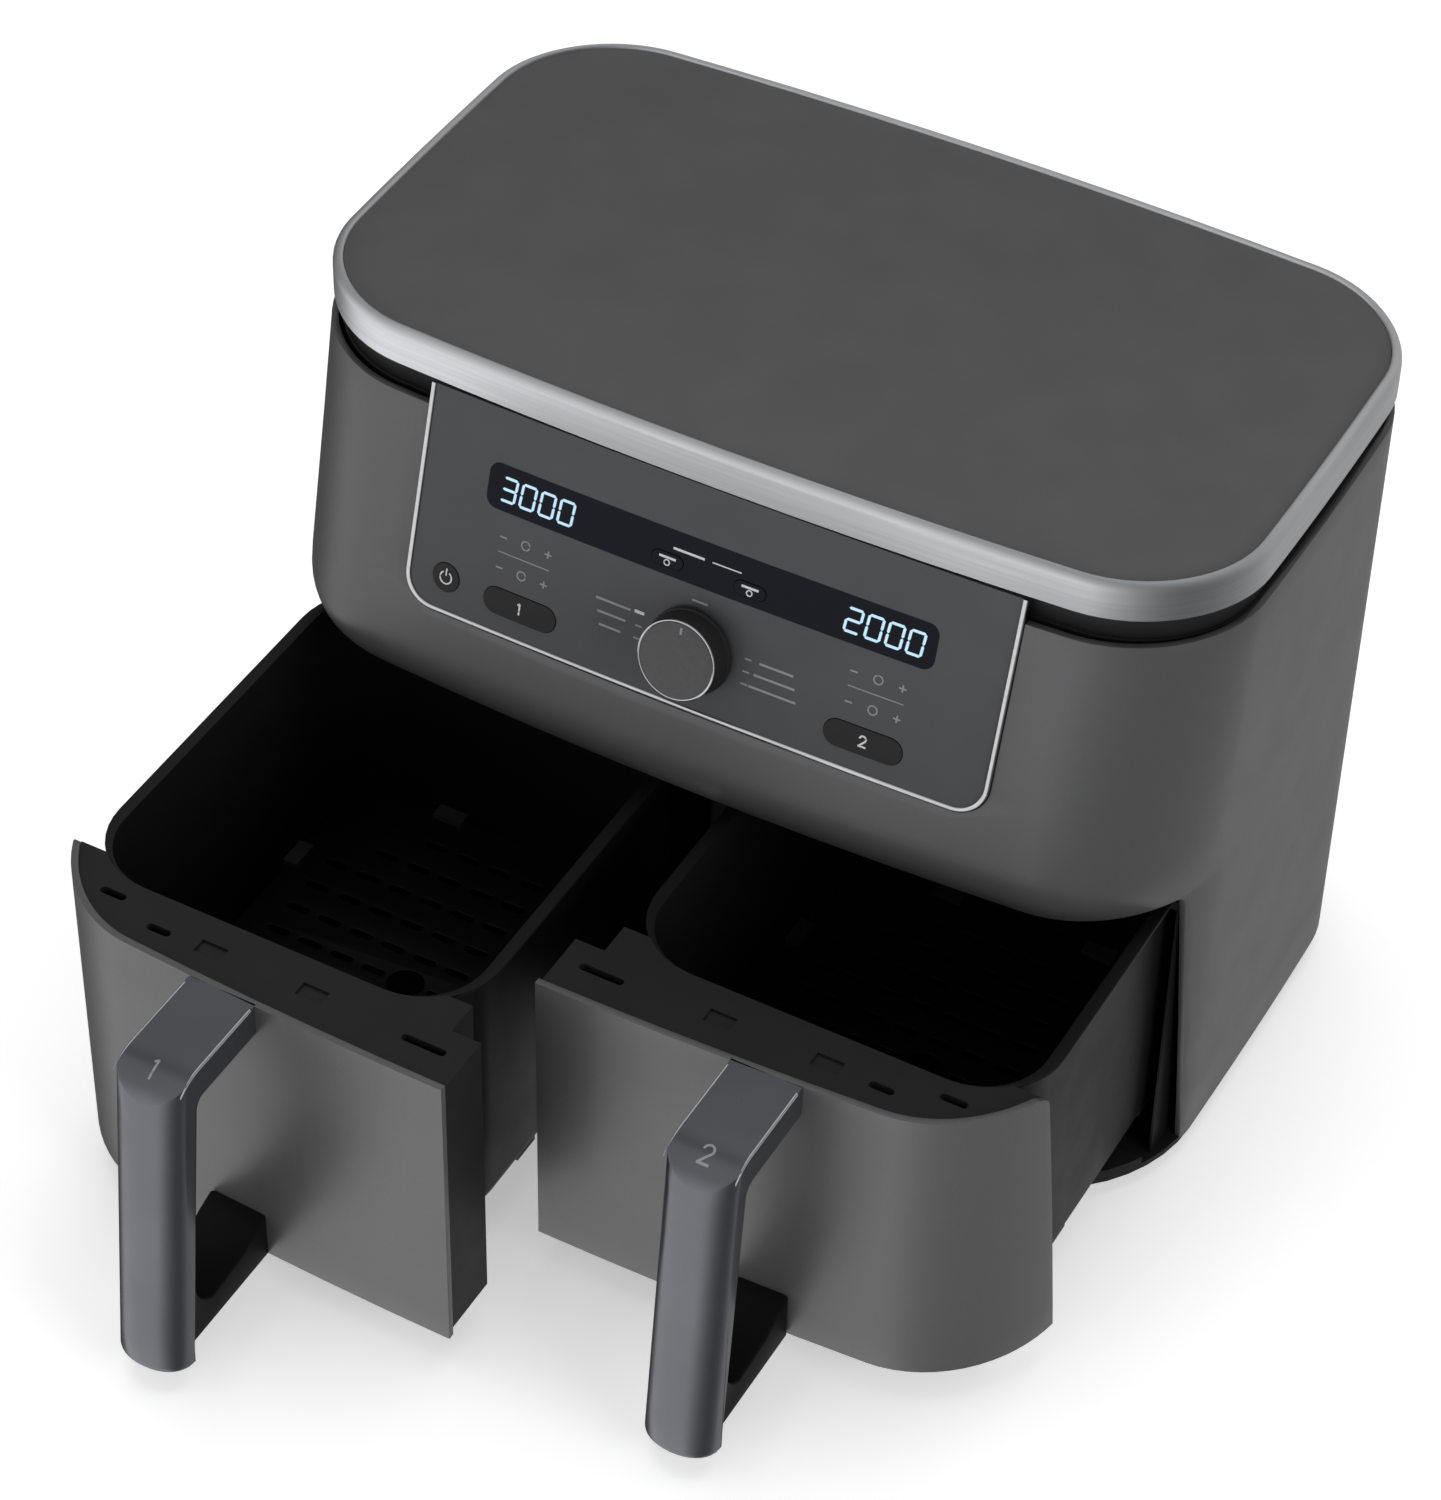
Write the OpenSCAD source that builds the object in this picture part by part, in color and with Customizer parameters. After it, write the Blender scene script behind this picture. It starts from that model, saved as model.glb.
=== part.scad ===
// Counter-top air fryer with two side-by-side drawers, in millimetres.
// +Z up, the front faces -Y, and the feet stand on z = 0. The lengths below are laid out
// about the middle of the body, and row_frame() then centres the whole part in y.

/* [Body] */
// Width of the body over its bowed sides
body_w = 415; // [405:1:425]
// Height of the top face above the floor
body_h = 325; // [320:1:330]
// Depth of the top face
top_d = 236; // [230:1:240]
// Radius of the corners in plan
corner_r = 56; // [50:1:60]
// How far the sides bow out
side_bulge = 2.3; // [0:0.1:4]
// How far the front and back bow out
front_bulge = 8.7; // [4:0.1:10]
// Wall of the moulded shell
wall = 3; // [2.5:0.1:3.5]
// Slope of the control panel from upright, in degrees
panel_lean = 16.5; // [14:0.5:18]
// Height of the bright ring around the top
ring_h = 17; // [15:1:18]
// Height of the dark band under the ring
band_h = 11; // [9:1:12]
// Height of the rubber feet
foot_h = 8; // [6:1:9]

/* [Drawers] */
// How far the left drawer stands open at rest
left_out = 189; // [0:1:195]
// How far the right drawer stands open at rest
right_out = 122; // [0:1:195]
// Distance from the middle of the body to the closed drawers' front faces
drawer_face = 140; // [136:1:144]
// Height of the drawers' top edge
drawer_top = 163; // [161:1:163]
// Height of the drawers' bottom edge
drawer_bottom = 17; // [16:1:20]
// How far a handle stands out from its drawer
handle_reach = 70; // [68:1:74]
// Width of a handle
handle_w = 31; // [27:1:34]
// Sheet thickness of the tubs
tub_t = 1.2; // [1:0.1:1.5]

/* [Controls] */
// Diameter of the dial
dial_d = 37; // [30:1:40]
// How far the dial stands out
dial_h = 14; // [10:1:16]
// Height of the display strip
display_h = 20; // [16:1:22]
// Length of a zone button
zone_l = 34; // [28:1:36]
// Diameter of the power button
power_d = 12.4; // [10:0.2:14]

/* [Heating] */
// Diameter of the hot-air fans
fan_d = 100; // [90:2:110]
// Mean diameter of the outer heater rings
heater_d = 112; // [106:2:116]
// Diameter of the fan shafts
shaft_d = 6; // [5:0.5:8]

/* [Hidden] */
$fn = 48;

half_w = body_w / 2;
half_d = top_d / 2;
ring_z = body_h - ring_h;
band_z = ring_z - band_h;
opening_y = -93;
opening_z = 166;
opening_r = 6;
opening_lean = 6;
chin_z = 190;
base_z = foot_h + 3;
sill_z = 15;
seam = 0.8;
lean_tan = tan(panel_lean);
chin_front = half_d + (ring_z - chin_z) * lean_tan;
back_y = half_d + 3;
front_y = -(drawer_face + max(left_out, right_out) + handle_reach);
shift_y = -(front_y + back_y) / 2;

// Drawer bays
bay_in = 14;
bay_out = 198.5;
bay_back = 104;
bay_top = 170;
tub_in = 20;
tub_out = 192;
tub_front = -drawer_face + 36.3;
tub_back = 98;
tub_floor = 26;
ear_y = -109;
rim_z = 158.5;
tub_r = 30;
deck_z = 161;
fan_y = 10;
fan_x = 104;
handle_x = 102;
fit_gap = 0.1;
closing_gap = 0.6;

// Control panel: s runs down the slope from the ring, u across it
trim_u = 132.5;
trim_s = 97.5;
trim_w = 2.2;
trim_r = 14;
sag_r = half_w * half_w / (2 * front_bulge) / cos(panel_lean);
dial_s = 70;
zone_u = 78;
zone_s = 82;
zone_h = 11.5;
power_u = -113.5;
power_s = 81;
display_u = 100.5;
display_s = 33;
match_u = -16.8;
sync_u = 20.2;
small_s = 36.5;
small_l = 14;
small_h = 6;
press = 0.8;
ring_gap = 0.3;
key_gap = 0.3;
key_depth = 5;
bush_r = 4.9;

SHELL = "#5d5d60";
BLACK = "#1b1c1e";
STEEL = "#b9bcc2";
PLATE = "#47474a";
GRIP = "#54585f";
GLASS = "#0b1019";
BOARD = "#1f5a3a";
COPPER = "#b5793d";

// ---------------------------------------------------------------- outlines

// Rounded rectangle of half sizes a and b, anticlockwise from the right-hand side
function rounded(a, b, r, arc = 10, edge = 6) = [
    for (i = [0:3])
        let (c = [[1, 1], [-1, 1], [-1, -1], [1, -1]], n = (i + 1) % 4,
             here = [c[i].x * (a - r), c[i].y * (b - r)],
             next = [c[n].x * (a - r), c[n].y * (b - r)],
             turn = [cos(90 * i + 90), sin(90 * i + 90)] * r)
        each concat(
            [for (k = [0:arc]) here + r * [cos(90 * (i + k / arc)), sin(90 * (i + k / arc))]],
            [for (k = [1:1:edge - 1]) here + turn + (next - here) * k / edge])
];

// The body's outline in plan, drawn in by inset, with its front half reaching to y = -front
function body_outline(inset = 0, front = half_d) = [
    for (p = rounded(half_w - inset, half_d - inset, corner_r - inset))
        let (x = p.x * (1 - side_bulge / half_w * pow(p.y / half_d, 2)),
             y = p.y * (1 - front_bulge / half_d * pow(p.x / half_w, 2)))
        [x, y < 0 ? y * (front - inset) / (half_d - inset) : y]
];

// How far forward the body's front stands at height z: upright at the drawers, then a round
// chin that runs up into the leaning panel
function front_at(z) =
    let (up = (z - opening_z) / (chin_z - opening_z))
    up <= 0 ? drawer_face
    : up < 1 ? drawer_face + (chin_front - drawer_face) * sin(90 * up)
    : half_d + (ring_z - z) * lean_tan;

// Rounded rectangle between two corners
function bay_outline(x0, x1, y0, y1, r) = [
    for (p = rounded((x1 - x0) / 2, (y1 - y0) / 2, r, 8, 1)) p + [x0 + x1, y0 + y1] / 2
];

// Points along an arc about c, from one angle to another
function arc(c, r, from, to, n = 6) = [
    for (k = [0:n]) let (a = from + (to - from) * k / n) c + r * [cos(a), sin(a)]
];

// Bar of length l and height h with round ends, along x
function stadium(l, h) = concat(
    arc([(l - h) / 2, 0], h / 2, -90, 90, 12), arc([(h - l) / 2, 0], h / 2, 90, 270, 12));

function round_box(l, h, r) = rounded(l / 2, h / 2, r, 6, 1);

// How far the bowed panel falls back at u
function sag(u) = sag_r - sqrt(sag_r * sag_r - u * u);

// ---------------------------------------------------------------- shared shapes

module row_frame() translate([0, shift_y, 0]) children();

// The modules are drawn for the right-hand side, and the left-hand ones are their mirror
module left_side() mirror([1, 0, 0]) children();

module drawn(out) translate([0, -out, 0]) children();

module left_drawer() row_frame() drawn(left_out) left_side() children();

module right_drawer() row_frame() drawn(right_out) children();

module body_slab(z0, z1, inset = 0, front = half_d)
    translate([0, 0, z0]) linear_extrude(z1 - z0) polygon(body_outline(inset, front));

module bay_slab(z0, z1, x0, x1, y0, y1, r)
    translate([0, 0, z0]) linear_extrude(z1 - z0) polygon(bay_outline(x0, x1, y0, y1, r));

// Solid through the body's outline at each height
module body_loft(heights, inset) {
    rings = [for (z = heights) [for (p = body_outline(inset, front_at(z))) [p.x, p.y, z]]];
    n = len(rings[0]);
    last = len(heights) - 1;
    polyhedron(
        points = [for (ring = rings) each ring],
        faces = concat(
            [[for (i = [0:n - 1]) i]],
            [[for (i = [n - 1:-1:0]) last * n + i]],
            [for (level = [0:last - 1], i = [0:n - 1])
                let (a = level * n + i, b = level * n + (i + 1) % n)
                each [[a, a + n, b + n], [a, b + n, b]]]));
}

// The control panel's own frame: x across, y up the slope, z outwards
module on_panel(u = 0, s = 0)
    translate([0, -half_d, ring_z]) rotate([90 - panel_lean, 0, 0]) translate([u, -s, 0]) children();

// Bowed sheet that follows the panel between depths w0 and w1, from just under the ring down
module panel_sheet(w0, w1) {
    reach = asin((trim_u + 4) / sag_r);
    length = trim_s + 12;
    translate([0, -length - ring_gap, -sag_r]) rotate([-90, 0, 0]) rotate([0, 0, -90 - reach])
        rotate_extrude(angle = 2 * reach, $fn = 180) translate([sag_r + w0, 0]) square([w1 - w0, length]);
}

module panel_prism(outline, u, s) translate([u, -s, -20]) linear_extrude(30) polygon(outline);

// The fascia's outline, grown all round: straight at the top, round at its lower corners
module fascia_prism(grow, top = -ring_gap) {
    half = trim_u + grow;
    low = -trim_s - grow;
    r = trim_r + grow;
    panel_prism(concat(
        [[half, top], [-half, top]],
        arc([-half + r, low + r], r, 180, 270, 8), arc([half - r, low + r], r, 270, 360, 8)), 0, 0);
}

// Insulated wire through a list of points
module wire(points, r) for (i = [0:len(points) - 2]) hull() {
    translate(points[i]) sphere(r = r, $fn = 8);
    translate(points[i + 1]) sphere(r = r, $fn = 8);
}

// ---------------------------------------------------------------- casing

// Prism across the whole body over a side view of [y, z] points
module across(outline) rotate([90, 0, 90]) linear_extrude(body_w + 20, center = true) polygon(outline);

// Side view of everything in front of the drawers' parting line, which leans back as it
// goes down and turns round at its top corner
module before_parting(y, z, r) {
    low = -5;
    top = z - r;
    across(concat(
        [[-300, low], [y + (top - low) * tan(opening_lean), low]],
        arc([y - r, top], r, -opening_lean, 90), [[-300, z]]));
}

module outer_shell() color(SHELL) {
    chin = [for (k = [0:4]) opening_z + (chin_z - opening_z) * k / 4];
    difference() {
        body_loft(concat([base_z], chin, [band_z]), 0);
        body_loft(concat([base_z - 5], chin, [band_z + 5]), wall);
        before_parting(opening_y, opening_z, opening_r);
        on_panel() fascia_prism(0.3);
        translate([-rear_half - 0.3, 80, rear_low - 0.3])
            cube([2 * rear_half + 0.6, 60, rear_high - rear_low + 0.6]);
    }
}

pan_screws = [[-100, -60], [100, -60], [-100, 60], [100, 60]];
foot_spots = [[-140, -105], [140, -105], [-150, 85], [150, 85]];

module base_pan() color(BLACK) difference() {
    union() {
        body_slab(foot_h, base_z, 1, drawer_face);
        intersection() {
            body_slab(base_z, sill_z, 1, drawer_face);
            translate([-half_w, -200, 0]) cube([body_w, 200 + opening_y - 6, 50]);
        }
        for (p = pan_screws) translate([p.x, p.y, base_z]) cylinder(r = 4, h = 6);
    }
    for (p = foot_spots) translate([p.x, p.y, 0]) cylinder(r = 4, h = 30);
    for (p = pan_screws) translate([p.x, p.y, 0]) cylinder(r = 1.7, h = 30);
    for (p = pan_screws) translate([p.x, p.y, 0]) cylinder(r = 4.5, h = foot_h + 1.6);
}

module rubber_feet() color("#2a2b2d") for (p = foot_spots) translate([p.x, p.y, 0]) {
    cylinder(r = 11, h = foot_h);
    cylinder(r = 4, h = sill_z - 1);
}

module header_beam() color(BLACK) intersection() {
    body_slab(opening_z, opening_z + 4, wall + 0.2, drawer_face);
    translate([-half_w, -200, 0]) cube([body_w, 100, 300]);
}

module centre_wall() color(BLACK) {
    web_front = opening_y + 4;
    web_l = 180;
    flange_w = 2 * bay_in - 1;
    translate([-2, web_front, base_z]) cube([4, web_l, bay_top - 3 - base_z]);
    translate([-flange_w / 2, opening_y, base_z]) cube([flange_w, 4, opening_z - base_z - 1]);
    translate([-flange_w / 2, web_front, bay_top - 3]) cube([flange_w, web_l, 3]);
}

rear_half = 150;
rear_low = 40;
rear_high = 290;
rear_screws = [[-140, 52], [140, 52], [-140, 278], [140, 278]];
gland_x = 0;
gland_z = 60;
gland_r = 3.6;
gland_in = 100;
outlet_x = 90;
outlet_w = 84;
outlet_low = 175;
outlet_high = 262;

function back_face(x) = half_d - front_bulge * pow(x / half_w, 2);

module rear_skin(depth) intersection() {
    difference() {
        body_slab(rear_low, rear_high);
        body_slab(rear_low - 1, rear_high + 1, depth);
    }
    translate([-rear_half, 60, 0]) cube([2 * rear_half, 100, 400]);
}

module rear_cover() color(BLACK) difference() {
    rear_skin(wall);
    for (side = [-1, 1])
        translate([side * outlet_x - outlet_w / 2, 60, outlet_low])
            cube([outlet_w, 100, outlet_high - outlet_low]);
    translate([gland_x, 90, gland_z]) rotate([-90, 0, 0]) cylinder(r = 9, h = 60);
    for (p = rear_screws) translate([p.x, 90, p.y]) rotate([-90, 0, 0]) cylinder(r = 1.6, h = 60);
}

// Frame and slanted slats of one air outlet, cut to fit its hole
module air_outlet() {
    slats = 10;
    high = outlet_high - outlet_low;
    pitch = (high - 4) / slats;
    intersection() {
        cube([outlet_w - 2 * fit_gap, 60, high - 2 * fit_gap], center = true);
        union() {
            difference() {
                cube([outlet_w, 60, high], center = true);
                cube([outlet_w - 6, 80, high - 6], center = true);
            }
            for (k = [0:slats - 1]) translate([1 - outlet_w / 2, 8, 2 + pitch * k - high / 2])
                rotate([-25, 0, 0]) cube([outlet_w - 2, 20, 3]);
        }
    }
}

module air_outlets() color("#232427") intersection() {
    rear_skin(7);
    for (side = [-1, 1]) translate([side * outlet_x, 100, (outlet_low + outlet_high) / 2]) air_outlet();
}

module cord_gland() color(BLACK) translate([gland_x, 0, gland_z]) rotate([-90, 0, 0]) difference() {
    union() {
        translate([0, 0, gland_in]) cylinder(r = 9, h = back_y - gland_in);
        translate([0, 0, half_d - wall - fit_gap - 2]) cylinder(r = 12, h = 2);
    }
    translate([0, 0, gland_in - 5]) cylinder(r = gland_r, h = 60);
}

module housing_screws() color(STEEL) {
    for (p = pan_screws) translate([p.x, p.y, 0]) {
        translate([0, 0, foot_h + 0.2]) cylinder(r = 3.4, h = 1.4);
        translate([0, 0, foot_h + 1.6]) cylinder(r = 1.7, h = 6);
    }
    for (p = rear_screws) translate([p.x, back_face(p.x), p.y]) rotate([90, 0, 0]) {
        translate([0, 0, -2]) cylinder(r = 3.4, h = 1.8);
        translate([0, 0, -0.2]) cylinder(r = 1.6, h = 9);
    }
}

module top_frame() color(BLACK) difference() {
    union() {
        body_slab(band_z - 8, band_z - 1, wall + 0.4);
        body_slab(band_z - 1, ring_z, 4.5);
    }
    body_slab(band_z - 10, ring_z + 5, 9);
}

module top_trim_ring() color(STEEL) difference() {
    body_slab(ring_z, body_h);
    body_slab(ring_z + 3, body_h + 1, 4.6);
    body_slab(ring_z - 1, ring_z + 4, 10);
}

module top_panel() color(PLATE) {
    body_slab(body_h - 3.5, body_h - 0.8, 4.7);
    difference() {
        body_slab(ring_z + 3, body_h - 3.5, 4.7);
        body_slab(ring_z + 2, body_h, 7);
    }
}

// ---------------------------------------------------------------- control panel

module fascia() color("#47474a") on_panel() difference() {
    intersection() {
        panel_sheet(-wall, 0);
        fascia_prism(-trim_w - 0.05);
    }
    panel_prism(round_box(2 * display_u + 0.1, display_h + 0.1, 5), 0, display_s);
    for (side = [-1, 1])
        panel_prism(stadium(zone_l + 2 * key_gap, zone_h + 2 * key_gap), side * zone_u, zone_s);
    translate([power_u, -power_s, -20]) cylinder(d = power_d + 2 * key_gap, h = 30);
    translate([0, -dial_s, -20]) cylinder(r = bush_r + 0.3, h = 30);
}

module fascia_trim() color(STEEL) on_panel() difference() {
    intersection() {
        panel_sheet(-wall, 0.7);
        fascia_prism(0);
    }
    fascia_prism(-trim_w, 5);
}

module display_window() color(GLASS) on_panel() difference() {
    intersection() {
        panel_sheet(-wall, 0.1);
        panel_prism(round_box(2 * display_u, display_h, 5), 0, display_s);
    }
    for (u = [match_u, sync_u])
        panel_prism(stadium(small_l + 2 * key_gap, small_h + 2 * key_gap), u, small_s);
}

// Key with a cap that fills its hole and a wider flange behind the fascia
module key_cap() intersection() {
    panel_sheet(-key_depth, 0.4);
    children();
}

module key_flange() intersection() {
    panel_sheet(-key_depth, -wall - 0.4);
    children();
}

module long_key(l, h, u, s) {
    key_cap() panel_prism(stadium(l, h), u, s);
    key_flange() panel_prism(stadium(l + 2.4, h + 2.4), u, s);
}

module zone_button(side) color(BLACK) on_panel() long_key(zone_l, zone_h, side * zone_u, zone_s);

module small_button(u) color(GLASS) on_panel() long_key(small_l, small_h, u, small_s);

module power_button() color(BLACK) on_panel() {
    key_cap() translate([power_u, -power_s, -20]) cylinder(d = power_d, h = 30);
    key_flange() translate([power_u, -power_s, -20]) cylinder(d = power_d + 2.4, h = 30);
}

board_w = -13;
key_spots = [
    [power_u, power_s], [-zone_u, zone_s], [zone_u, zone_s], [match_u, small_s], [sync_u, small_s]
];

module control_board() color(BOARD) on_panel() {
    difference() {
        translate([-123, -93, board_w - 1.6]) cube([246, 76, 1.6]);
        translate([-8, -dial_s - 8, board_w - 5]) cube([16, 16, 10]);
        for (u = [-118, 118], s = [22, 68]) translate([u, -s, board_w - 5]) cylinder(r = 1.7, h = 10);
    }
    // Tactile switches behind the keys
    for (p = key_spots) translate([p.x - 3, -p.y - 3, board_w])
        cube([6, 6, -board_w - key_depth - 2 * press - sag(p.x)]);
    // Display modules behind the window
    for (side = [-1, 1]) translate([side * 78 - 19, -display_s - 7, board_w]) cube([38, 14, 7]);
}

module dial_encoder() color(STEEL) on_panel(0, dial_s) difference() {
    union() {
        translate([-7, -7, -18]) cube([14, 14, 13]);
        translate([0, 0, -5]) cylinder(r = bush_r, h = 4.6);
    }
    translate([0, 0, -15]) cylinder(d = shaft_d + 0.1, h = 20);
}

dial_gap = 1.3;

module dial_spindle() color(STEEL) on_panel(0, dial_s)
    translate([0, 0, -13]) cylinder(d = shaft_d, h = 13 + dial_gap + 9);

module dial_knob() color(BLACK) on_panel(0, dial_s) difference() {
    rotate_extrude($fn = 96) polygon([
        [0, dial_gap], [dial_d / 2, dial_gap], [dial_d / 2, dial_gap + 2],
        [dial_d / 2 - 0.6, dial_gap + 2.6], [dial_d / 2 - 1, dial_h - 0.8],
        [dial_d / 2 - 1.8, dial_h], [0, dial_h]
    ]);
    translate([0, 0, -1]) cylinder(d = shaft_d + 0.1, h = 1 + dial_gap + 9.5);
}

// ---------------------------------------------------------------- chambers

liner_front = -91.6;

module liner() color(BLACK) difference() {
    bay_slab(base_z, bay_top + 1, bay_in, bay_out, -160, bay_back, 38);
    bay_slab(base_z - 1, bay_top, bay_in + 1, bay_out - 1, -170, bay_back - 1, 37);
    translate([-10, -200, 0]) cube([300, 200 + liner_front, 400]);
    translate([fan_x, fan_y, bay_top - 5]) cylinder(r = 74, h = 20);
}

module rail_pair() {
    for (x = [bay_in + 1, bay_out - 5])
        translate([x, liner_front + fit_gap, rim_z - 4.8]) cube([4, 147, 4.5]);
}

module drawer_rails() color(STEEL) {
    rail_pair();
    left_side() rail_pair();
}

shield_z = bay_top + 1;
shield_top = 214;
cooling_z = 218;
cooling_d = 84;
motor_z = 230;
motor_top = 262;

module heat_shield() color("#8d9094") translate([fan_x, fan_y, 0]) difference() {
    union() {
        translate([0, 0, shield_z]) cylinder(r = 80, h = 1.2);
        translate([0, 0, shield_z]) cylinder(r = 75, h = shield_top - shield_z + 1.2);
    }
    translate([0, 0, shield_z - 1]) cylinder(r = 74, h = shield_top - shield_z + 1);
    translate([0, 0, 100]) cylinder(r = 6, h = 200);
    for (side = [-1, 1]) translate([side * 12, -heater_d / 2, 100]) cylinder(r = 3, h = 200);
    translate([0, 0, shield_z + 6]) rotate([-90, 0, 0]) cylinder(r = 2, h = 100);
}

heater_z = 180;

module heater() color("#6d655e") translate([fan_x, fan_y, 0]) {
    for (r = [heater_d / 2, heater_d / 2 - 15])
        translate([0, 0, heater_z]) rotate_extrude($fn = 96) translate([r, 0]) circle(r = 3.2, $fn = 24);
    for (a = [30:120:270]) translate([0, 0, heater_z]) rotate([0, 90, a])
        translate([0, 0, heater_d / 2 - 15]) cylinder(r = 2, h = 15);
    for (side = [-1, 1]) translate([side * 12, -heater_d / 2, heater_z]) cylinder(r = 2.2, h = 42);
}

module fan_guard() color(STEEL) translate([fan_x, fan_y, bay_top - 1.4]) {
    linear_extrude(1.4) difference() {
        circle(r = 80, $fn = 96);
        for (ring = [1:5], k = [0:6 * ring - 1])
            rotate(60 * k / ring) translate([12 * ring, 0]) circle(r = 3.8, $fn = 16);
    }
}

module fan_shaft() color(STEEL) translate([fan_x, fan_y, 189]) cylinder(d = shaft_d, h = 66);

// Radial fan: a plate with upright blades around a hub
module radial_fan(d, z, h, blades) translate([fan_x, fan_y, z]) difference() {
    union() {
        cylinder(r = 8, h = h);
        cylinder(d = d, h = 1.2);
        for (k = [0:blades - 1]) rotate([0, 0, 360 * k / blades]) translate([6, -0.6, 0])
            cube([d / 2 - 7, 1.2, h]);
    }
    translate([0, 0, -1]) cylinder(d = shaft_d, h = h + 2);
}

module hot_fan() color(STEEL) radial_fan(fan_d, 192, 14, 12);

module cooling_fan() color("#35383b") radial_fan(cooling_d, cooling_z, 8, 12);

module motor() color("#777a7f") translate([fan_x, fan_y, 0]) {
    difference() {
        union() {
            translate([0, 0, motor_z]) cylinder(r = 24, h = motor_top - motor_z);
            translate([0, 0, motor_z - 2]) cylinder(r = 56, h = 2);
        }
        translate([0, 0, motor_z - 10]) cylinder(d = shaft_d + 0.1, h = 36);
    }
    for (k = [0:3]) rotate([0, 0, 45 + 90 * k]) translate([50, 0, shield_top + 1.2])
        cylinder(r = 4, h = motor_z - 2 - shield_top - 1.2);
}

module temp_sensor() translate([fan_x, fan_y + 60, shield_z + 6]) rotate([-90, 0, 0]) {
    cylinder(r = 1.6, h = 24);
    translate([0, 0, 18]) cylinder(r = 4, h = 4);
}

module temp_sensors() color(COPPER) {
    temp_sensor();
    left_side() temp_sensor();
}

// Microswitches on the header, one over each drawer's inner corner
module drawer_switches() color("#303236") for (side = [-1, 1])
    translate([side * 30 - 10, -108.2, opening_z + 4]) difference() {
        cube([20, 8, 12]);
        for (x = [4, 16]) translate([x, -1, 6]) rotate([-90, 0, 0]) cylinder(r = 1.5, h = 10);
    }

module main_board() color(BOARD) {
    translate([-0.8, -60, bay_top]) cube([1.6, 130, 110]);
    // Relays, capacitors and the mains filter
    for (y = [-50, -26], z = [196, 220]) translate([0.8, y, z]) cube([16, 19, 15]);
    for (y = [10, 34]) translate([0.8, y, 230]) rotate([0, 90, 0]) cylinder(r = 9, h = 24);
    translate([-22.8, 0, 200]) cube([22, 40, 34]);
    translate([-14.8, -48, 240]) cube([14, 30, 20]);
}

// Leads to the two motors, to the control board and to the cord gland
module wiring_harness() color("#7d2f2b") {
    r = 2.2;
    by_board = 3.1;
    for (side = [-1, 1])
        wire([[side * by_board, -50, 268], [side * 30, -60, 275], [side * 80, -20, 275],
              [side * fan_x, fan_y, 270], [side * fan_x, fan_y, motor_top + r + fit_gap / 2]], r);
    wire([[by_board, -40, 276], [20, -80, 284], [20, -109, 280]], r);
    wire([[by_board, 66, 182], [by_board, 97, 182], [0, 97, gland_z]], r);
}

// ---------------------------------------------------------------- drawers

module tub() color(BLACK) {
    difference() {
        bay_slab(tub_floor, rim_z, tub_in, tub_out, tub_front, tub_back, tub_r);
        bay_slab(tub_floor + tub_t, rim_z + 1, tub_in + tub_t, tub_out - tub_t,
                 tub_front + tub_t, tub_back - tub_t, tub_r - tub_t);
    }
    difference() {
        bay_slab(rim_z, rim_z + 1.5, tub_in - 4.5, tub_out + 4.5, tub_front, tub_back + 2, tub_r + 4);
        bay_slab(rim_z - 1, rim_z + 2, tub_in + tub_t, tub_out - tub_t,
                 tub_front + tub_t, tub_back - tub_t, tub_r - tub_t);
    }
}

// Plan of a drawer front's inside, drawn in by inset from the skin and by gap from the seam
module front_plan(inset, gap) intersection() {
    polygon(body_outline(inset, drawer_face));
    union() {
        translate([seam + gap, -300]) square([50, 300 + ear_y - gap]);
        translate([bay_in + gap, -300]) square([half_w, 300 + opening_y - closing_gap - gap]);
    }
}

module front_skin() color(SHELL) intersection() {
    translate([0, 0, drawer_bottom]) linear_extrude(drawer_top - drawer_bottom) difference() {
        intersection() {
            polygon(body_outline(0, drawer_face));
            translate([seam, -300]) square([half_w, 300]);
        }
        polygon(body_outline(wall, drawer_face));
    }
    before_parting(opening_y - closing_gap, drawer_top, opening_r - 1);
}

module tub_plan(grow, ahead = 0.1) polygon(bay_outline(
    tub_in - grow, tub_out + grow, tub_front - ahead, tub_back + 30, tub_r + grow));

// Slots through the deck as [x, y, length], and shallow square recesses between them
deck_slots = [[20, -121.4, 20], [143, -120.5, 11], [170, -112.5, 12]];
slot_w = 3.6;
deck_recesses = [72, 119];

module front_bezel() color(BLACK) difference() {
    translate([0, 0, drawer_bottom + 3]) linear_extrude(deck_z - drawer_bottom - 3) difference() {
        front_plan(wall + 0.05, 0.6);
        tub_plan(0.1);
    }
    translate([0, 0, drawer_bottom]) linear_extrude(deck_z - drawer_bottom - wall) difference() {
        front_plan(2 * wall, wall);
        tub_plan(wall, wall);
    }
    translate([0, 0, rim_z - 0.1]) linear_extrude(10) tub_plan(4.6);
    for (p = deck_slots) translate([p.x, p.y, deck_z - wall - 1])
        linear_extrude(wall + 2) polygon(stadium(p.z, slot_w));
    for (x = deck_recesses) translate([x - 6, -123, deck_z - 1.2]) cube([12, 7, 5]);
}

// Handle: a flat arm, a round bend and a grip that leans outwards as it goes down
grip_t = 15;
grip_low = 9.5;
arm_h = 15;
arm_z = drawer_top;
arm_low = arm_z - arm_h;
bend_d = 36.5;
bend_r = 21;
bend_turn = 60;
bend_end = [bend_d + bend_r * sin(bend_turn), arm_z - bend_r * (1 - cos(bend_turn))];
grip_round = 5;
grip_slope = (handle_reach - bend_end.x) / (bend_end.y - grip_low - grip_round);
lower_arm_z = grip_low + 7;
lower_arm_h = 24;

// Distance out from the drawer of the grip's front face at height z
function grip_front(z) = handle_reach - grip_slope * (z - grip_low - grip_round);

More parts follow.
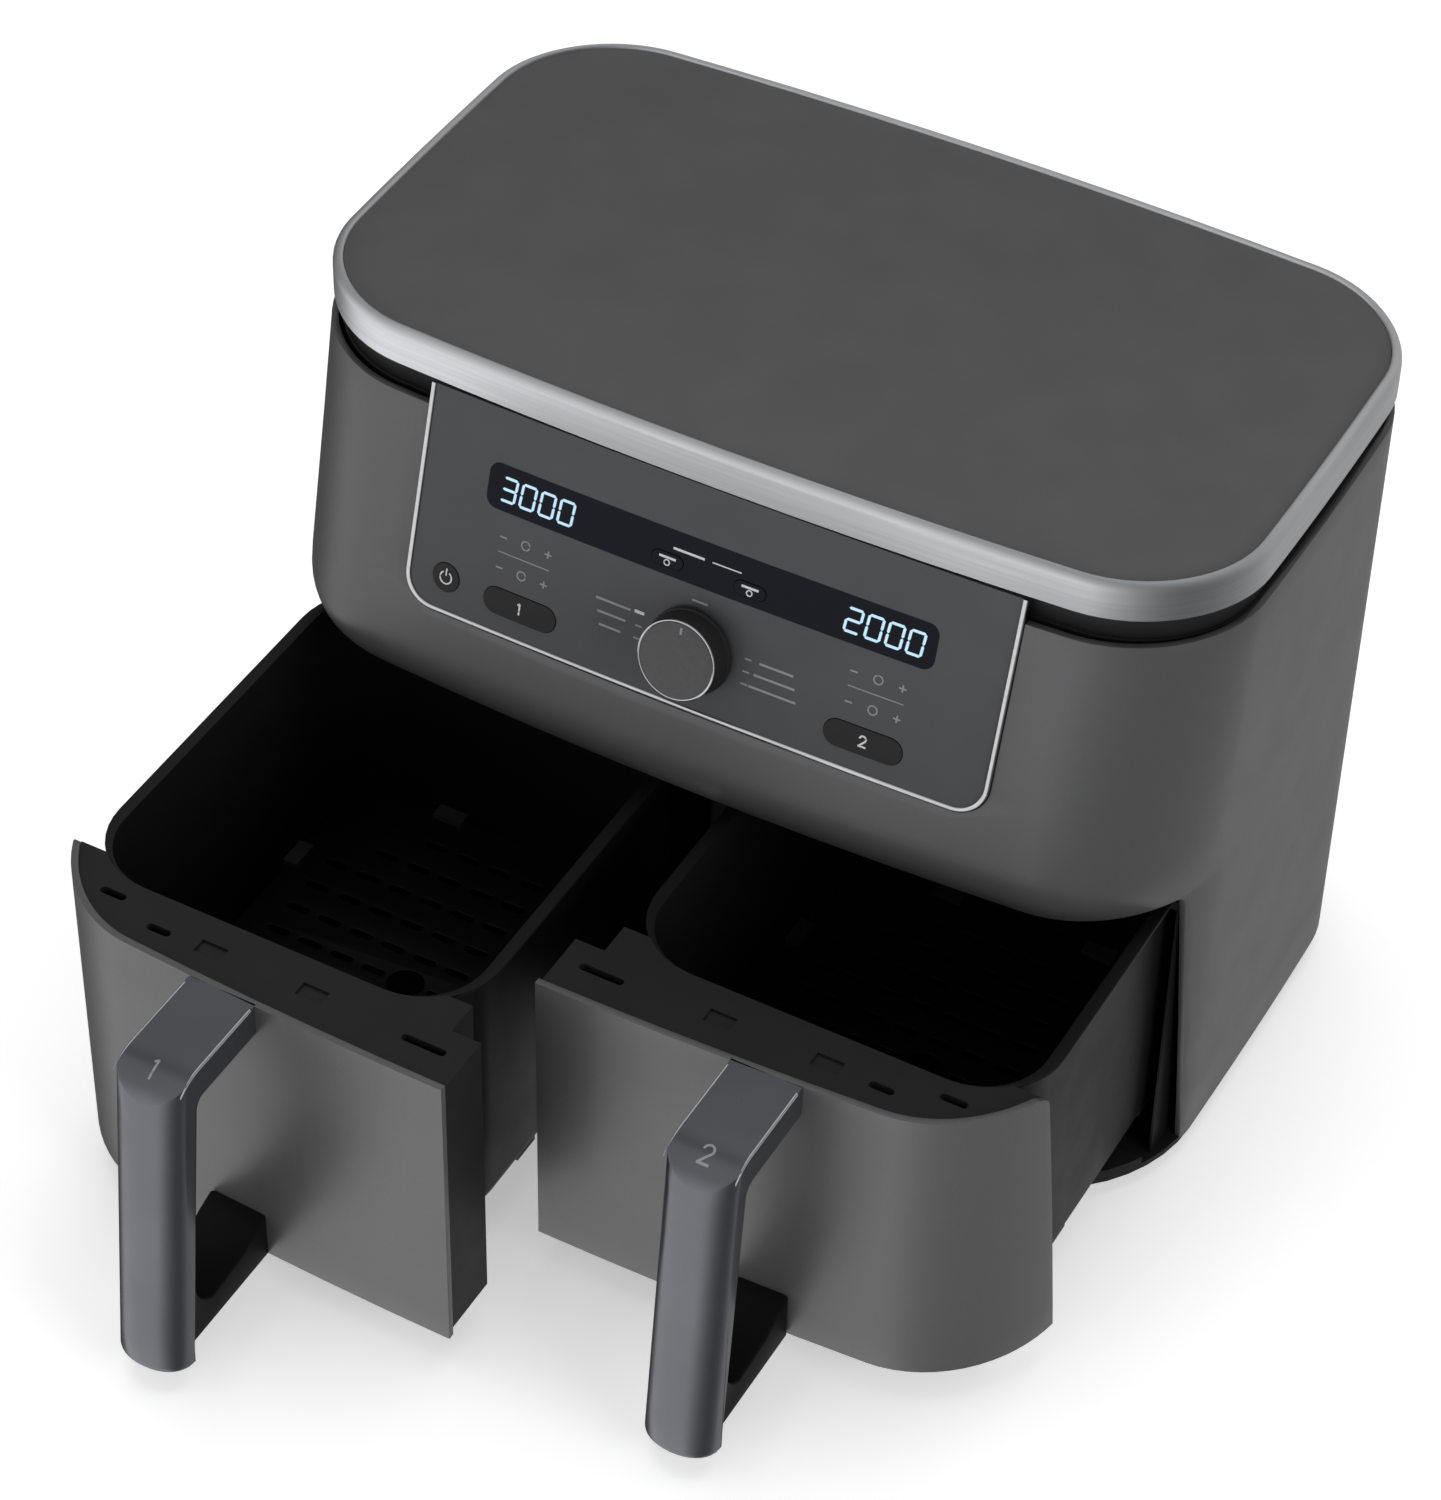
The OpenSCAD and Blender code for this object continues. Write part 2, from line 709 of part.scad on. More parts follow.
// Bar of width w whose side view is the outline: distance out from the drawer, height
module side_view(w, outline) difference() {
    translate([handle_x, -drawer_face, 0]) rotate([90, 0, -90])
        translate([0, 0, -w / 2]) linear_extrude(w) polygon(outline);
    translate([0, 0, -1]) linear_extrude(300) polygon(body_outline(-0.05, drawer_face));
}

grip_bend = 6;
bend_rear = [grip_front(arm_low - grip_bend) - grip_t - grip_bend, arm_low - grip_bend];

// Arm and grip, moulded as one
module handle_grip() color(GRIP) side_view(handle_w, concat(
    [[-4, arm_low], [-4, arm_z]],
    arc([bend_d, arm_z - bend_r], bend_r, 90, 90 - bend_turn),
    arc([handle_reach - grip_round, grip_low + grip_round], grip_round, 0, -90),
    [[grip_front(grip_low) - grip_t, grip_low]],
    arc(bend_rear, grip_bend, 0, 90)));

// Inner side of the handle, with the lower arm that returns to the drawer
module handle_inner() color(BLACK) {
    t = 4;
    r = 16;
    floor_z = lower_arm_z + 13;
    side_view(handle_w - 4, concat(
        [[-4, arm_low - fit_gap], [-4, arm_low - t]],
        arc(bend_rear - [t, t], grip_bend, 90, 0),
        arc([grip_front(floor_z + r) - grip_t - t - r, floor_z + r], r, 0, -90),
        [[-4, lower_arm_z + lower_arm_h], [-4, lower_arm_z],
         [grip_front(lower_arm_z) - grip_t - fit_gap, lower_arm_z]],
        arc(bend_rear - [fit_gap, fit_gap], grip_bend, 0, 90)));
}

plate_z = 44;

tub_mid = [(tub_in + tub_out) / 2, (tub_front + tub_back) / 2];
tub_half = [(tub_out - tub_in) / 2 - tub_t, (tub_back - tub_front) / 2 - tub_t];
plate_gap = 2;
finger_r = 8;

module crisper_plate() color("#2b2c2e") translate([tub_mid.x, tub_mid.y, plate_z])
    linear_extrude(1.5) difference() {
        polygon(rounded(tub_half.x - plate_gap, tub_half.y - plate_gap, tub_r - tub_t - plate_gap, 8, 1));
        for (i = [-4:4], j = [-5:5]) if (abs(i) + abs(j) < 8 && abs(i) + abs(j) > 0)
            translate([16 * i, 15.5 * j]) square([11, 3.4], center = true);
        circle(r = finger_r, $fn = 32);
    }

// Silicone foot that grips the plate's edge at a spot on the tub's wall and faces angle a
module bumper(spot, a) translate([tub_mid.x + spot.x, tub_mid.y + spot.y, tub_floor + tub_t + 0.1])
    rotate([0, 0, a]) difference() {
        translate([-7.4, -7, 0]) cube([7, 14, plate_z - tub_floor + 3]);
        translate([-20, -8, plate_z - tub_floor - tub_t - 0.15]) cube([20 - plate_gap + 0.1, 16, 1.6]);
    }

module crisper_bumpers() color("#3a3b3e") for (side = [-1, 1], k = [-1, 1]) {
    bumper([side * tub_half.x, k * 42], side > 0 ? 0 : 180);
    bumper([k * 36, side * tub_half.y], side * 90);
}

// ---------------------------------------------------------------- the object

row_frame() outer_shell();
row_frame() base_pan();
row_frame() rubber_feet();
row_frame() header_beam();
row_frame() centre_wall();
row_frame() left_side() liner();  // liner_left
row_frame() liner();  // liner_right
row_frame() drawer_rails();
row_frame() left_side() heat_shield();  // heat_shield_left
row_frame() heat_shield();  // heat_shield_right
row_frame() left_side() heater();  // heater_left
row_frame() heater();  // heater_right
row_frame() left_side() fan_guard();  // fan_guard_left
row_frame() fan_guard();  // fan_guard_right
row_frame() left_side() motor();  // motor_left
row_frame() motor();  // motor_right
row_frame() top_frame();
row_frame() top_trim_ring();
row_frame() top_panel();
row_frame() fascia();
row_frame() fascia_trim();
row_frame() display_window();
row_frame() control_board();
row_frame() main_board();
row_frame() dial_encoder();
row_frame() rear_cover();
row_frame() air_outlets();
row_frame() cord_gland();
row_frame() drawer_switches();
row_frame() temp_sensors();
row_frame() housing_screws();
row_frame() wiring_harness();
row_frame() left_side() fan_shaft();  // fan_shaft_left
row_frame() fan_shaft();  // fan_shaft_right
row_frame() left_side() hot_fan();  // hot_fan_left
row_frame() hot_fan();  // hot_fan_right
row_frame() left_side() cooling_fan();  // cooling_fan_left
row_frame() cooling_fan();  // cooling_fan_right
left_drawer() tub();  // tub_left
right_drawer() tub();  // tub_right
left_drawer() front_skin();  // front_skin_left
right_drawer() front_skin();  // front_skin_right
left_drawer() front_bezel();  // front_bezel_left
right_drawer() front_bezel();  // front_bezel_right
left_drawer() handle_grip();  // handle_grip_left
right_drawer() handle_grip();  // handle_grip_right
left_drawer() handle_inner();  // handle_inner_left
right_drawer() handle_inner();  // handle_inner_right
left_drawer() crisper_plate();  // crisper_plate_left
right_drawer() crisper_plate();  // crisper_plate_right
left_drawer() crisper_bumpers();  // crisper_bumpers_left
right_drawer() crisper_bumpers();  // crisper_bumpers_right
row_frame() dial_spindle();
row_frame() dial_knob();
row_frame() power_button();
row_frame() zone_button(-1);  // zone_1_button
row_frame() zone_button(1);  // zone_2_button
row_frame() small_button(match_u);  // match_button
row_frame() small_button(sync_u);  // sync_button
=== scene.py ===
"""Looks for a two-drawer air fryer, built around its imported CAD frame.

Lengths in this script are in millimetres about the middle of the body, as in the CAD source,
and row() turns them into metres in the row frame.
"""

import math

import bmesh
import bpy
from mathutils import Matrix, Vector


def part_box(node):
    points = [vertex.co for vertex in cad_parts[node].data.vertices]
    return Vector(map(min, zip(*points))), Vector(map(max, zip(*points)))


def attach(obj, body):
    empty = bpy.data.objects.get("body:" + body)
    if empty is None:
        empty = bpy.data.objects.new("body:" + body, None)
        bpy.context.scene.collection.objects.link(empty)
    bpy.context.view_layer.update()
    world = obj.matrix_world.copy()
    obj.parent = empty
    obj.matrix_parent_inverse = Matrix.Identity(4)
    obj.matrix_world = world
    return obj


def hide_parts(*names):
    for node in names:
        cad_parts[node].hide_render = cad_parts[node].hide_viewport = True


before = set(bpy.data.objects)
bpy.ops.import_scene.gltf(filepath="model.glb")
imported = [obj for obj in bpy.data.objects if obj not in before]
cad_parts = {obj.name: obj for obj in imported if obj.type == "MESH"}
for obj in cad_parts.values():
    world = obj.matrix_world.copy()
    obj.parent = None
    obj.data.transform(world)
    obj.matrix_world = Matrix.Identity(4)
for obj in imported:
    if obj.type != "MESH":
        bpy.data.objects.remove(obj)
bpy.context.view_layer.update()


# ---------------------------------------------------------------- sizes from the frame


def node_box(name):
    """Lowest and highest corner of a CAD node in millimetres, in the row frame."""
    low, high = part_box(name)
    return low * 1000, high * 1000


RING_LOW, RING_HIGH = node_box("top_trim_ring")
SHELL_LOW, SHELL_HIGH = node_box("outer_shell")
SKIN_LOW, SKIN_HIGH = node_box("front_skin_right")
TUB_LOW, TUB_HIGH = node_box("tub_right")
GRIP_LOW, GRIP_HIGH = node_box("handle_grip_right")
TRIM_HIGH = node_box("fascia_trim")[1]

# The body's middle lies SHIFT_Y behind the row frame's origin
SHIFT_Y = (RING_LOW.y + RING_HIGH.y) / 2
HALF_W = RING_HIGH.x
HALF_D = (RING_HIGH.y - RING_LOW.y) / 2
BODY_H = RING_HIGH.z

# Heights of the ring's lower edge, and of the casing's upper and lower edges
RING_Z = RING_LOW.z
BAND_Z = SHELL_HIGH.z
BASE_Z = SHELL_LOW.z

# Plan of the body: a rectangle with round corners whose sides and front bow outwards
CORNER_R = 56
SIDE_BULGE = 2.3
FRONT_BULGE = 8.7
WALL = 3

# The control panel leans back by LEAN, down to the chin over the drawers
LEAN = math.radians(16.5)
CHIN_Z = 190
CHIN_FRONT = HALF_D + (RING_Z - CHIN_Z) * math.tan(LEAN)

# Drawers' opening: DRAWER_FACE is how far forward the closed fronts stand in the middle, and
# OPENING_Y where the leaning parting line ends in its round top corner on the body's sides
DRAWER_FACE = 140
OPENING_Y = -93
OPENING_Z = 166
OPENING_R = 6
OPENING_LEAN = math.radians(6)
CLOSING_GAP = 0.6

# Each drawer's side of the middle, and how far it stands out at rest
SIDES = {"left": -1, "right": 1}
OUT = {
    side: SHIFT_Y - node_box("front_skin_" + side)[0].y - DRAWER_FACE
    for side in SIDES
}

# Places on the panel: u across from its middle, s down its slope from the ring. SAG_R is the
# radius of its bow.
TRIM_U = TRIM_HIGH.x
TRIM_S = 97.5
TRIM_W = 2.2
TRIM_R = 14
SAG_R = HALF_W**2 / (2 * FRONT_BULGE) / math.cos(LEAN)
DIAL_S = 70
ZONE_U, ZONE_S = 78, 82
POWER_U, POWER_S = -113.5, 81

# Print on the keys: its height over the panel, and its thickness
KEY_FACE = 0.4
KEY_PRINT = 0.08


def row(x, y, z):
    """A point in millimetres about the body, in metres in the row frame."""
    return Vector((x, y + SHIFT_Y, z)) / 1000


def in_scene(name, data):
    """New object of a mesh, curve, lamp or camera, linked to the scene."""
    made = bpy.data.objects.new(name, data)
    bpy.context.scene.collection.objects.link(made)
    return made


# ---------------------------------------------------------------- camera, lights and floor


# Camera fitted to the body's outline in the photo: angles in radians, lens in millimetres
CAMERA_AZIMUTH = 0.49096
CAMERA_ELEVATION = 0.74765
CAMERA_ROLL = 0.0238
CAMERA_LENS = 111.39
CAMERA_PLACE = (657.2, -1341.2, 1458.1)


def add_camera():
    """Camera at the photo's place, turned by azimuth and elevation and then rolled."""
    back = Vector((
        math.sin(CAMERA_AZIMUTH) * math.cos(CAMERA_ELEVATION),
        -math.cos(CAMERA_AZIMUTH) * math.cos(CAMERA_ELEVATION),
        math.sin(CAMERA_ELEVATION),
    ))
    right = Vector((math.cos(CAMERA_AZIMUTH), math.sin(CAMERA_AZIMUTH), 0))
    up = back.cross(right)
    across = right * math.cos(CAMERA_ROLL) + up * math.sin(CAMERA_ROLL)
    upward = up * math.cos(CAMERA_ROLL) - right * math.sin(CAMERA_ROLL)
    data = bpy.data.cameras.new("camera")
    data.sensor_fit = "AUTO"
    data.sensor_width = 36
    data.lens = CAMERA_LENS
    data.clip_start, data.clip_end = 0.1, 50
    camera = in_scene("camera", data)
    turn = Matrix((across, upward, back)).transposed().to_4x4()
    camera.matrix_world = Matrix.Translation(row(*CAMERA_PLACE)) @ turn
    bpy.context.scene.camera = camera


def add_area_light(name, place, target, size, power):
    """Soft box that lights the surfaces without showing in their reflections."""
    data = bpy.data.lights.new(name, "AREA")
    data.shape = "RECTANGLE"
    data.size, data.size_y = size
    data.energy = power
    lamp = in_scene(name, data)
    lamp.location = place
    lamp.rotation_mode = "QUATERNION"
    lamp.rotation_quaternion = (Vector(target) - Vector(place)).to_track_quat("-Z", "Y")
    lamp.visible_glossy = False


# Brightness of the studio walls by azimuth in degrees, from the front towards the right:
# low down, where upright faces reflect, and high up. One gives way to the other between the
# two elevations of WALLS_BLEND, which are given as sines.
WALLS_LOW = {-180: 0.4, -150: 0.1, -112: 0.05, -86: 0.14, -62: 2.0, -36: 1.95, -10: 1.4,
             8: 0.7, 30: 0.25, 62: 0.06, 105: 0.2, 150: 0.45, 180: 0.4}
WALLS_HIGH = {-180: 0.5, -150: 0.5, -112: 0.15, -80: 0.5, -30: 0.55, 0: 0.5, 30: 0.25,
              62: 0.1, 120: 0.3, 150: 0.48, 180: 0.5}
WALLS_BLEND = 0.15, 0.65


def add_world():
    """White for the camera; a soft grey studio for everything that the object reflects."""
    world = bpy.data.worlds.new("studio")
    bpy.context.scene.world = world
    world.use_nodes = True
    tree = world.node_tree
    background = tree.nodes["Background"]

    def maths(operation, *values):
        made = tree.nodes.new("ShaderNodeMath")
        made.operation = operation
        for socket, value in zip(made.inputs, values):
            if isinstance(value, (int, float)):
                socket.default_value = value
            else:
                tree.links.new(value, socket)
        return made.outputs[0]

    def ramp(walls, turn):
        made = tree.nodes.new("ShaderNodeValToRGB")
        made.color_ramp.interpolation = "B_SPLINE"
        stops = made.color_ramp.elements
        while len(stops) < len(walls):
            stops.new(0.5)
        for stop, (azimuth, grey) in zip(stops, walls.items()):
            stop.position = (azimuth + 180) / 360
            stop.color = (grey, grey, grey, 1)
        tree.links.new(turn, made.inputs["Fac"])
        return made.outputs["Color"]

    def mix(factor, first, second):
        made = tree.nodes.new("ShaderNodeMix")
        made.data_type = "RGBA"
        for socket, value in (("Factor", factor), ("A", first), ("B", second)):
            if isinstance(value, tuple):
                made.inputs[socket].default_value = value
            else:
                tree.links.new(value, made.inputs[socket])
        return made.outputs["Result"]

    split = tree.nodes.new("ShaderNodeSeparateXYZ")
    tree.links.new(tree.nodes.new("ShaderNodeTexCoord").outputs["Generated"], split.inputs[0])
    x, y, z = split.outputs
    azimuth = maths("ARCTAN2", x, maths("MULTIPLY", y, -1))
    turn = maths("MULTIPLY_ADD", azimuth, 0.5 / math.pi, 0.5)
    above = tree.nodes.new("ShaderNodeMapRange")
    above.interpolation_type = "SMOOTHSTEP"
    above.inputs["From Min"].default_value, above.inputs["From Max"].default_value = WALLS_BLEND
    tree.links.new(z, above.inputs["Value"])
    walls = mix(above.outputs["Result"], ramp(WALLS_LOW, turn), ramp(WALLS_HIGH, turn))
    seen = tree.nodes.new("ShaderNodeLightPath").outputs["Is Camera Ray"]
    tree.links.new(mix(seen, walls, (1, 1, 1, 1)), background.inputs["Color"])


def add_stage():
    """Studio with a wide white floor and three soft boxes; places and sizes in metres."""
    add_world()
    bpy.context.scene.view_settings.view_transform = "Standard"

    mesh = bpy.data.meshes.new("floor")
    reach = 12
    mesh.from_pydata(
        [(-reach, -reach, 0), (reach, -reach, 0), (reach, reach, 0), (-reach, reach, 0)],
        [], [(0, 1, 2, 3)])
    mesh.materials.append(paper())
    floor = in_scene("floor", mesh)
    floor.visible_glossy = False

    middle = (0, 0.05, 0.15)
    add_area_light("overhead", (-0.3, 0.6, 2.2), middle, (2.4, 2.0), 24)
    add_area_light("front", (-0.7, -1.7, 0.32), (0, -0.2, 0.1), (1.6, 0.5), 9)
    add_area_light("right_fill", (2.3, -0.6, 0.7), middle, (1.4, 1.4), 36)


# ---------------------------------------------------------------- materials


class Finish:
    """A procedural Principled material put together step by step."""

    # Most values of a noise lie between these two
    NOISE_LOW, NOISE_HIGH = 0.3, 0.7

    def __init__(self, name, colour, rough, metallic=0.0, coat=0.0, specular=0.5):
        self.material = bpy.data.materials.new(name)
        self.material.use_nodes = True
        self.tree = self.material.node_tree
        self.shader = self.tree.nodes["Principled BSDF"]
        self.colour = colour
        self.rough = rough
        self.shader.inputs["Metallic"].default_value = metallic
        self.shader.inputs["Coat Weight"].default_value = coat
        self.shader.inputs["Coat Roughness"].default_value = 0.05
        self.shader.inputs["Specular IOR Level"].default_value = specular
        self.place = self.tree.nodes.new("ShaderNodeTexCoord").outputs["Object"]
        self.height = None

    def node(self, kind, **values):
        """Shader node with its inputs set; an underscore stands for a space in their names."""
        made = self.tree.nodes.new("ShaderNode" + kind)
        for key, value in values.items():
            made.inputs[key.replace("_", " ")].default_value = value
        return made

    def link(self, start, end):
        self.tree.links.new(start, end)

    def noise(self, scale, detail=3.0, stretch=(1, 1, 1)):
        """Noise in object space; a stretch under 1 draws it out along that axis."""
        mapping = self.node("Mapping", Scale=stretch)
        self.link(self.place, mapping.inputs["Vector"])
        made = self.node("TexNoise", Scale=scale, Detail=detail)
        self.link(mapping.outputs["Vector"], made.inputs["Vector"])
        return made.outputs["Fac"]

    def spread(self, source, low, high):
        """Stretches a noise so that it runs from low to high."""
        made = self.node("MapRange", From_Min=self.NOISE_LOW, From_Max=self.NOISE_HIGH,
                         To_Min=low, To_Max=high)
        self.link(source, made.inputs["Value"])
        return made.outputs["Result"]

    def tint(self, source, amount):
        """Varies the colour's brightness by the amount either way."""
        made = self.tree.nodes.new("ShaderNodeMix")
        made.data_type = "RGBA"
        made.inputs["A"].default_value = (*[c * (1 - amount) for c in self.colour], 1)
        made.inputs["B"].default_value = (*[c * (1 + amount) for c in self.colour], 1)
        self.link(self.spread(source, 0, 1), made.inputs["Factor"])
        self.link(made.outputs["Result"], self.shader.inputs["Base Color"])
        return self

    def gloss(self, source, amount):
        """Varies the roughness by the amount either way."""
        self.link(self.spread(source, self.rough - amount, self.rough + amount),
                  self.shader.inputs["Roughness"])
        return self

    def bump(self, source, strength, depth=0.0001):
        """Raises the surface by the source, on top of any bump before; depth in metres."""
        made = self.node("Bump", Strength=strength, Distance=depth)
        self.link(source, made.inputs["Height"])
        if self.height is not None:
            self.link(self.height, made.inputs["Normal"])
        self.height = made.outputs["Normal"]
        self.link(self.height, self.shader.inputs["Normal"])
        return self


def moulded(name, colour, rough, grain=900, strength=0.12, **more):
    """Moulded plastic with a fine spark-eroded grain."""
    f = Finish(name, colour, rough, **more)
    f.tint(f.noise(35, 4), 0.05)
    f.gloss(f.noise(60, 3), 0.03)
    return f.bump(f.noise(grain, 2), strength).material


def brushed(name, colour, rough, along, strength=0.25, metallic=1.0, amount=0.06, across=0.0):
    """Metal with a grain drawn out along the axes where along is small.

    With across above 0, its reflections are drawn out upright, as by a level brushed grain.
    """
    f = Finish(name, colour, rough, metallic)
    if across:
        f.shader.inputs["Anisotropic"].default_value = across
        f.shader.inputs["Anisotropic Rotation"].default_value = 0.25
        level = f.tree.nodes.new("ShaderNodeTangent")
        level.direction_type, level.axis = "RADIAL", "Z"
        f.link(level.outputs["Tangent"], f.shader.inputs["Tangent"])
    grain = f.noise(700, 3, along)
    f.tint(grain, amount)
    f.gloss(f.noise(420, 2, along), 0.05)
    return f.bump(grain, strength, 0.00005).material


def lit(name, colour, strength):
    """Display segment that glows in its own colour."""
    f = Finish(name, colour, 0.4)
    f.tint(f.noise(300), 0.04)
    f.gloss(f.noise(200), 0.05)
    f.shader.inputs["Emission Color"].default_value = (*colour, 1)
    f.shader.inputs["Emission Strength"].default_value = strength
    return f.material


def paper():
    """White floor with a little glow, as over a light table."""
    f = Finish("floor_paper", (0.86, 0.86, 0.86), 0.7, specular=0.0)
    f.shader.inputs["Emission Color"].default_value = (1, 1, 1, 1)
    f.shader.inputs["Emission Strength"].default_value = 0.42
    f.tint(f.noise(3), 0.004)
    return f.gloss(f.noise(5), 0.03).material


def satin_paint(name, grey):
    """Grey paint with a fine metallic flake."""
    f = Finish(name, (grey, grey, grey * 1.03), 0.36, metallic=0.55, specular=0.45)
    f.tint(f.noise(2600, 1), 0.07)
    f.gloss(f.noise(40, 3), 0.025)
    return f.bump(f.noise(1500, 2), 0.05, 0.00004).material


MATERIALS = {
    "shell": satin_paint("satin_casing_paint", 0.107),
    "front": satin_paint("satin_drawer_paint", 0.13),
    "black": moulded("black_plastic", (0.0115, 0.0115, 0.012), 0.5, specular=0.3),
    "core": moulded("black_core", (0.0045, 0.0045, 0.005), 0.55, specular=0.15),
    "top": moulded("top_plate_grey", (0.077, 0.077, 0.079), 0.55, grain=1400, strength=0.08,
                   specular=0.3),
    "ring": brushed("brushed_ring", (0.83, 0.84, 0.86), 0.48, (0.02, 0.02, 1), 0.1, across=0.85),
    "fascia": moulded("fascia_grey", (0.052, 0.053, 0.057), 0.42, grain=1600, strength=0.06,
                      specular=0.3),
    "glass": moulded("display_black", (0.004, 0.0052, 0.0095), 0.2, grain=30, strength=0.01,
                     specular=0.1),
    "grip": moulded("handle_grey", (0.16, 0.165, 0.183), 0.24, grain=1800, strength=0.05,
                    metallic=0.9),
    "nonstick": moulded("nonstick_coating", (0.0062, 0.0062, 0.007), 0.42, grain=500,
                        strength=0.1, specular=0.22),
    # Painted highlight: a bright strip for the glint along the handles' upper edges
    "line": brushed("painted_edge_highlight", (0.5, 0.505, 0.52), 0.4, (0.05, 0.05, 1), 0.1, metallic=0.4),
    "numeral": moulded("printed_numeral", (0.23, 0.235, 0.245), 0.5, grain=400, strength=0.02),
    "galvanised": brushed("aluminised_sheet", (0.4, 0.41, 0.43), 0.42, (1, 1, 0.1)),
    "steel": brushed("turned_steel", (0.6, 0.61, 0.63), 0.25, (1, 1, 0.2)),
    "element": brushed("element_tube", (0.15, 0.13, 0.12), 0.5, (1, 1, 1), amount=0.3),
    "board": moulded("solder_mask", (0.012, 0.1, 0.045), 0.35, coat=0.3),
    "copper": brushed("copper", (0.6, 0.28, 0.15), 0.35, (1, 1, 0.3)),
    "rubber": moulded("black_rubber", (0.018, 0.018, 0.019), 0.75, grain=700, strength=0.25),
    "silicone": moulded("grey_silicone", (0.04, 0.041, 0.044), 0.6),
    "wire": moulded("red_silicone_lead", (0.2, 0.025, 0.02), 0.5),
    "mark": moulded("printed_mark", (0.2, 0.2, 0.21), 0.5, grain=400, strength=0.02),
    "mark_bright": moulded("bright_mark", (0.5, 0.51, 0.53), 0.5, grain=400, strength=0.02),
    "digit": lit("display_light", (0.34, 0.5, 0.62), 0.6),
    "chrome": brushed("bright_edge", (0.62, 0.62, 0.64), 0.2, (0.05, 0.05, 1), 0.1),
    "knob_face": brushed("knob_face", (0.075, 0.075, 0.078), 0.4, (1, 1, 1), 0.1, metallic=0.5),
}


# ---------------------------------------------------------------- mesh helpers


def shade(mesh, angle):
    """Smooth shading, apart from edges that bend by more than the angle in degrees."""
    for face in mesh.polygons:
        face.use_smooth = True
    mesh.set_sharp_from_angle(angle=math.radians(angle))


def add_piece(name, mesh, material, body, replaces=(), angle=35):
    """Puts a mesh in the scene as a piece that rides on a CAD body."""
    piece = in_scene(name, mesh)
    mesh.materials.clear()
    mesh.materials.append(MATERIALS[material])
    shade(mesh, angle)
    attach(piece, body)
    if replaces:
        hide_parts(*replaces)


def welded(mesh):
    """The mesh with points that coincide joined, and with its normals outwards."""
    work = bmesh.new()
    work.from_mesh(mesh)
    bmesh.ops.remove_doubles(work, verts=work.verts, dist=1e-6)
    bmesh.ops.recalc_face_normals(work, faces=work.faces)
    work.to_mesh(mesh)
    work.free()
    return mesh


def closed_mesh(name, points, faces):
    """Closed mesh in the row frame from points in millimetres."""
    mesh = bpy.data.meshes.new(name)
    mesh.from_pydata([row(*p) for p in points], [], faces)
    return welded(mesh)


def loft(name, rings, tube=False):
    """Skin through closed rings of equal length.

    A tube joins its last ring to the first; otherwise the ends are capped.
    """
    count, size = len(rings), len(rings[0])
    points = [p for ring in rings for p in ring]
    faces = []
    for i in range(count if tube else count - 1):
        a, b = i * size, (i + 1) % count * size
        for k in range(size):
            n = (k + 1) % size
            faces.append((a + k, a + n, b + n, b + k))
    if not tube:
        faces.append(tuple(range(size))[::-1])
        faces.append(tuple(range((count - 1) * size, count * size)))
    return closed_mesh(name, points, faces)


def add_modifier(thing, name, kind, settings):
    modifier = thing.modifiers.new(name, kind)
    for key, value in settings.items():
        setattr(modifier, key, value)


def mesh_of(holder):
    """Mesh of an object with its modifiers or curve settings applied; the object itself goes."""
    bpy.context.view_layer.update()
    graph = bpy.context.evaluated_depsgraph_get()
    made = bpy.data.meshes.new_from_object(holder.evaluated_get(graph))
    bpy.data.objects.remove(holder)
    return made


def apply_modifiers(mesh, *steps):
    """The mesh after a row of (kind, settings) modifiers."""
    holder = in_scene("holder", mesh)
    for kind, settings in steps:
        add_modifier(holder, kind.lower(), kind, settings)
    made = mesh_of(holder)
    made.name = mesh.name
    return made


def bevel(width, segments=2, angle=40):
    """Modifier step that rounds edges sharper than the angle; width in millimetres."""
    return "BEVEL", {
        "width": width / 1000, "segments": segments, "limit_method": "ANGLE",
        "angle_limit": math.radians(angle), "use_clamp_overlap": True, "harden_normals": False,
    }


def cut(mesh, *cutting_meshes):
    """The mesh less the cutting meshes."""
    tools = [in_scene("cutter_" + m.name, m) for m in cutting_meshes]
    steps = [("BOOLEAN", {"object": t, "operation": "DIFFERENCE", "solver": "EXACT"})
             for t in tools]
    made = apply_modifiers(mesh, *steps)
    for tool in tools:
        bpy.data.objects.remove(tool)
    return made


# ---------------------------------------------------------------- outlines


def spaced(start, end, parts):
    """Evenly spaced values that divide a stretch into parts, with both of its ends."""
    return [start + (end - start) * k / parts for k in range(parts + 1)]


def arc(centre, r, start, end, steps):
    """Points on an arc in a plane, with its angles in degrees."""
    return [
        (centre[0] + r * math.cos(math.radians(a)), centre[1] + r * math.sin(math.radians(a)))
        for a in spaced(start, end, steps)
    ]


def rounded(a, b, r, steps=16, edge=10):
    """Rounded rectangle of half sizes a and b, anticlockwise from the right-hand side."""
    corners = [(1, 1), (-1, 1), (-1, -1), (1, -1)]
    points = []
    for i, (sx, sy) in enumerate(corners):
        here = arc((sx * (a - r), sy * (b - r)), r, 90 * i, 90 * i + 90, steps)
        nx, ny = corners[(i + 1) % 4]
        start, turn = here[-1], math.radians(90 * i + 90)
        end = (nx * (a - r) + r * math.cos(turn), ny * (b - r) + r * math.sin(turn))
        side = zip(spaced(start[0], end[0], edge), spaced(start[1], end[1], edge))
        points += here + list(side)[1:-1]
    return points


def body_outline(inset=0.0, front=HALF_D):
    """The body's outline in plan, drawn in by inset, with its front half reaching to y = -front."""
    points = []
    for x, y in rounded(HALF_W - inset, HALF_D - inset, CORNER_R - inset):
        bowed_x = x * (1 - SIDE_BULGE / HALF_W * (y / HALF_D) ** 2)
        bowed_y = y * (1 - FRONT_BULGE / HALF_D * (x / HALF_W) ** 2)
        if y < 0:
            bowed_y *= (front - inset) / (HALF_D - inset)
        points.append((bowed_x, bowed_y))
    return points


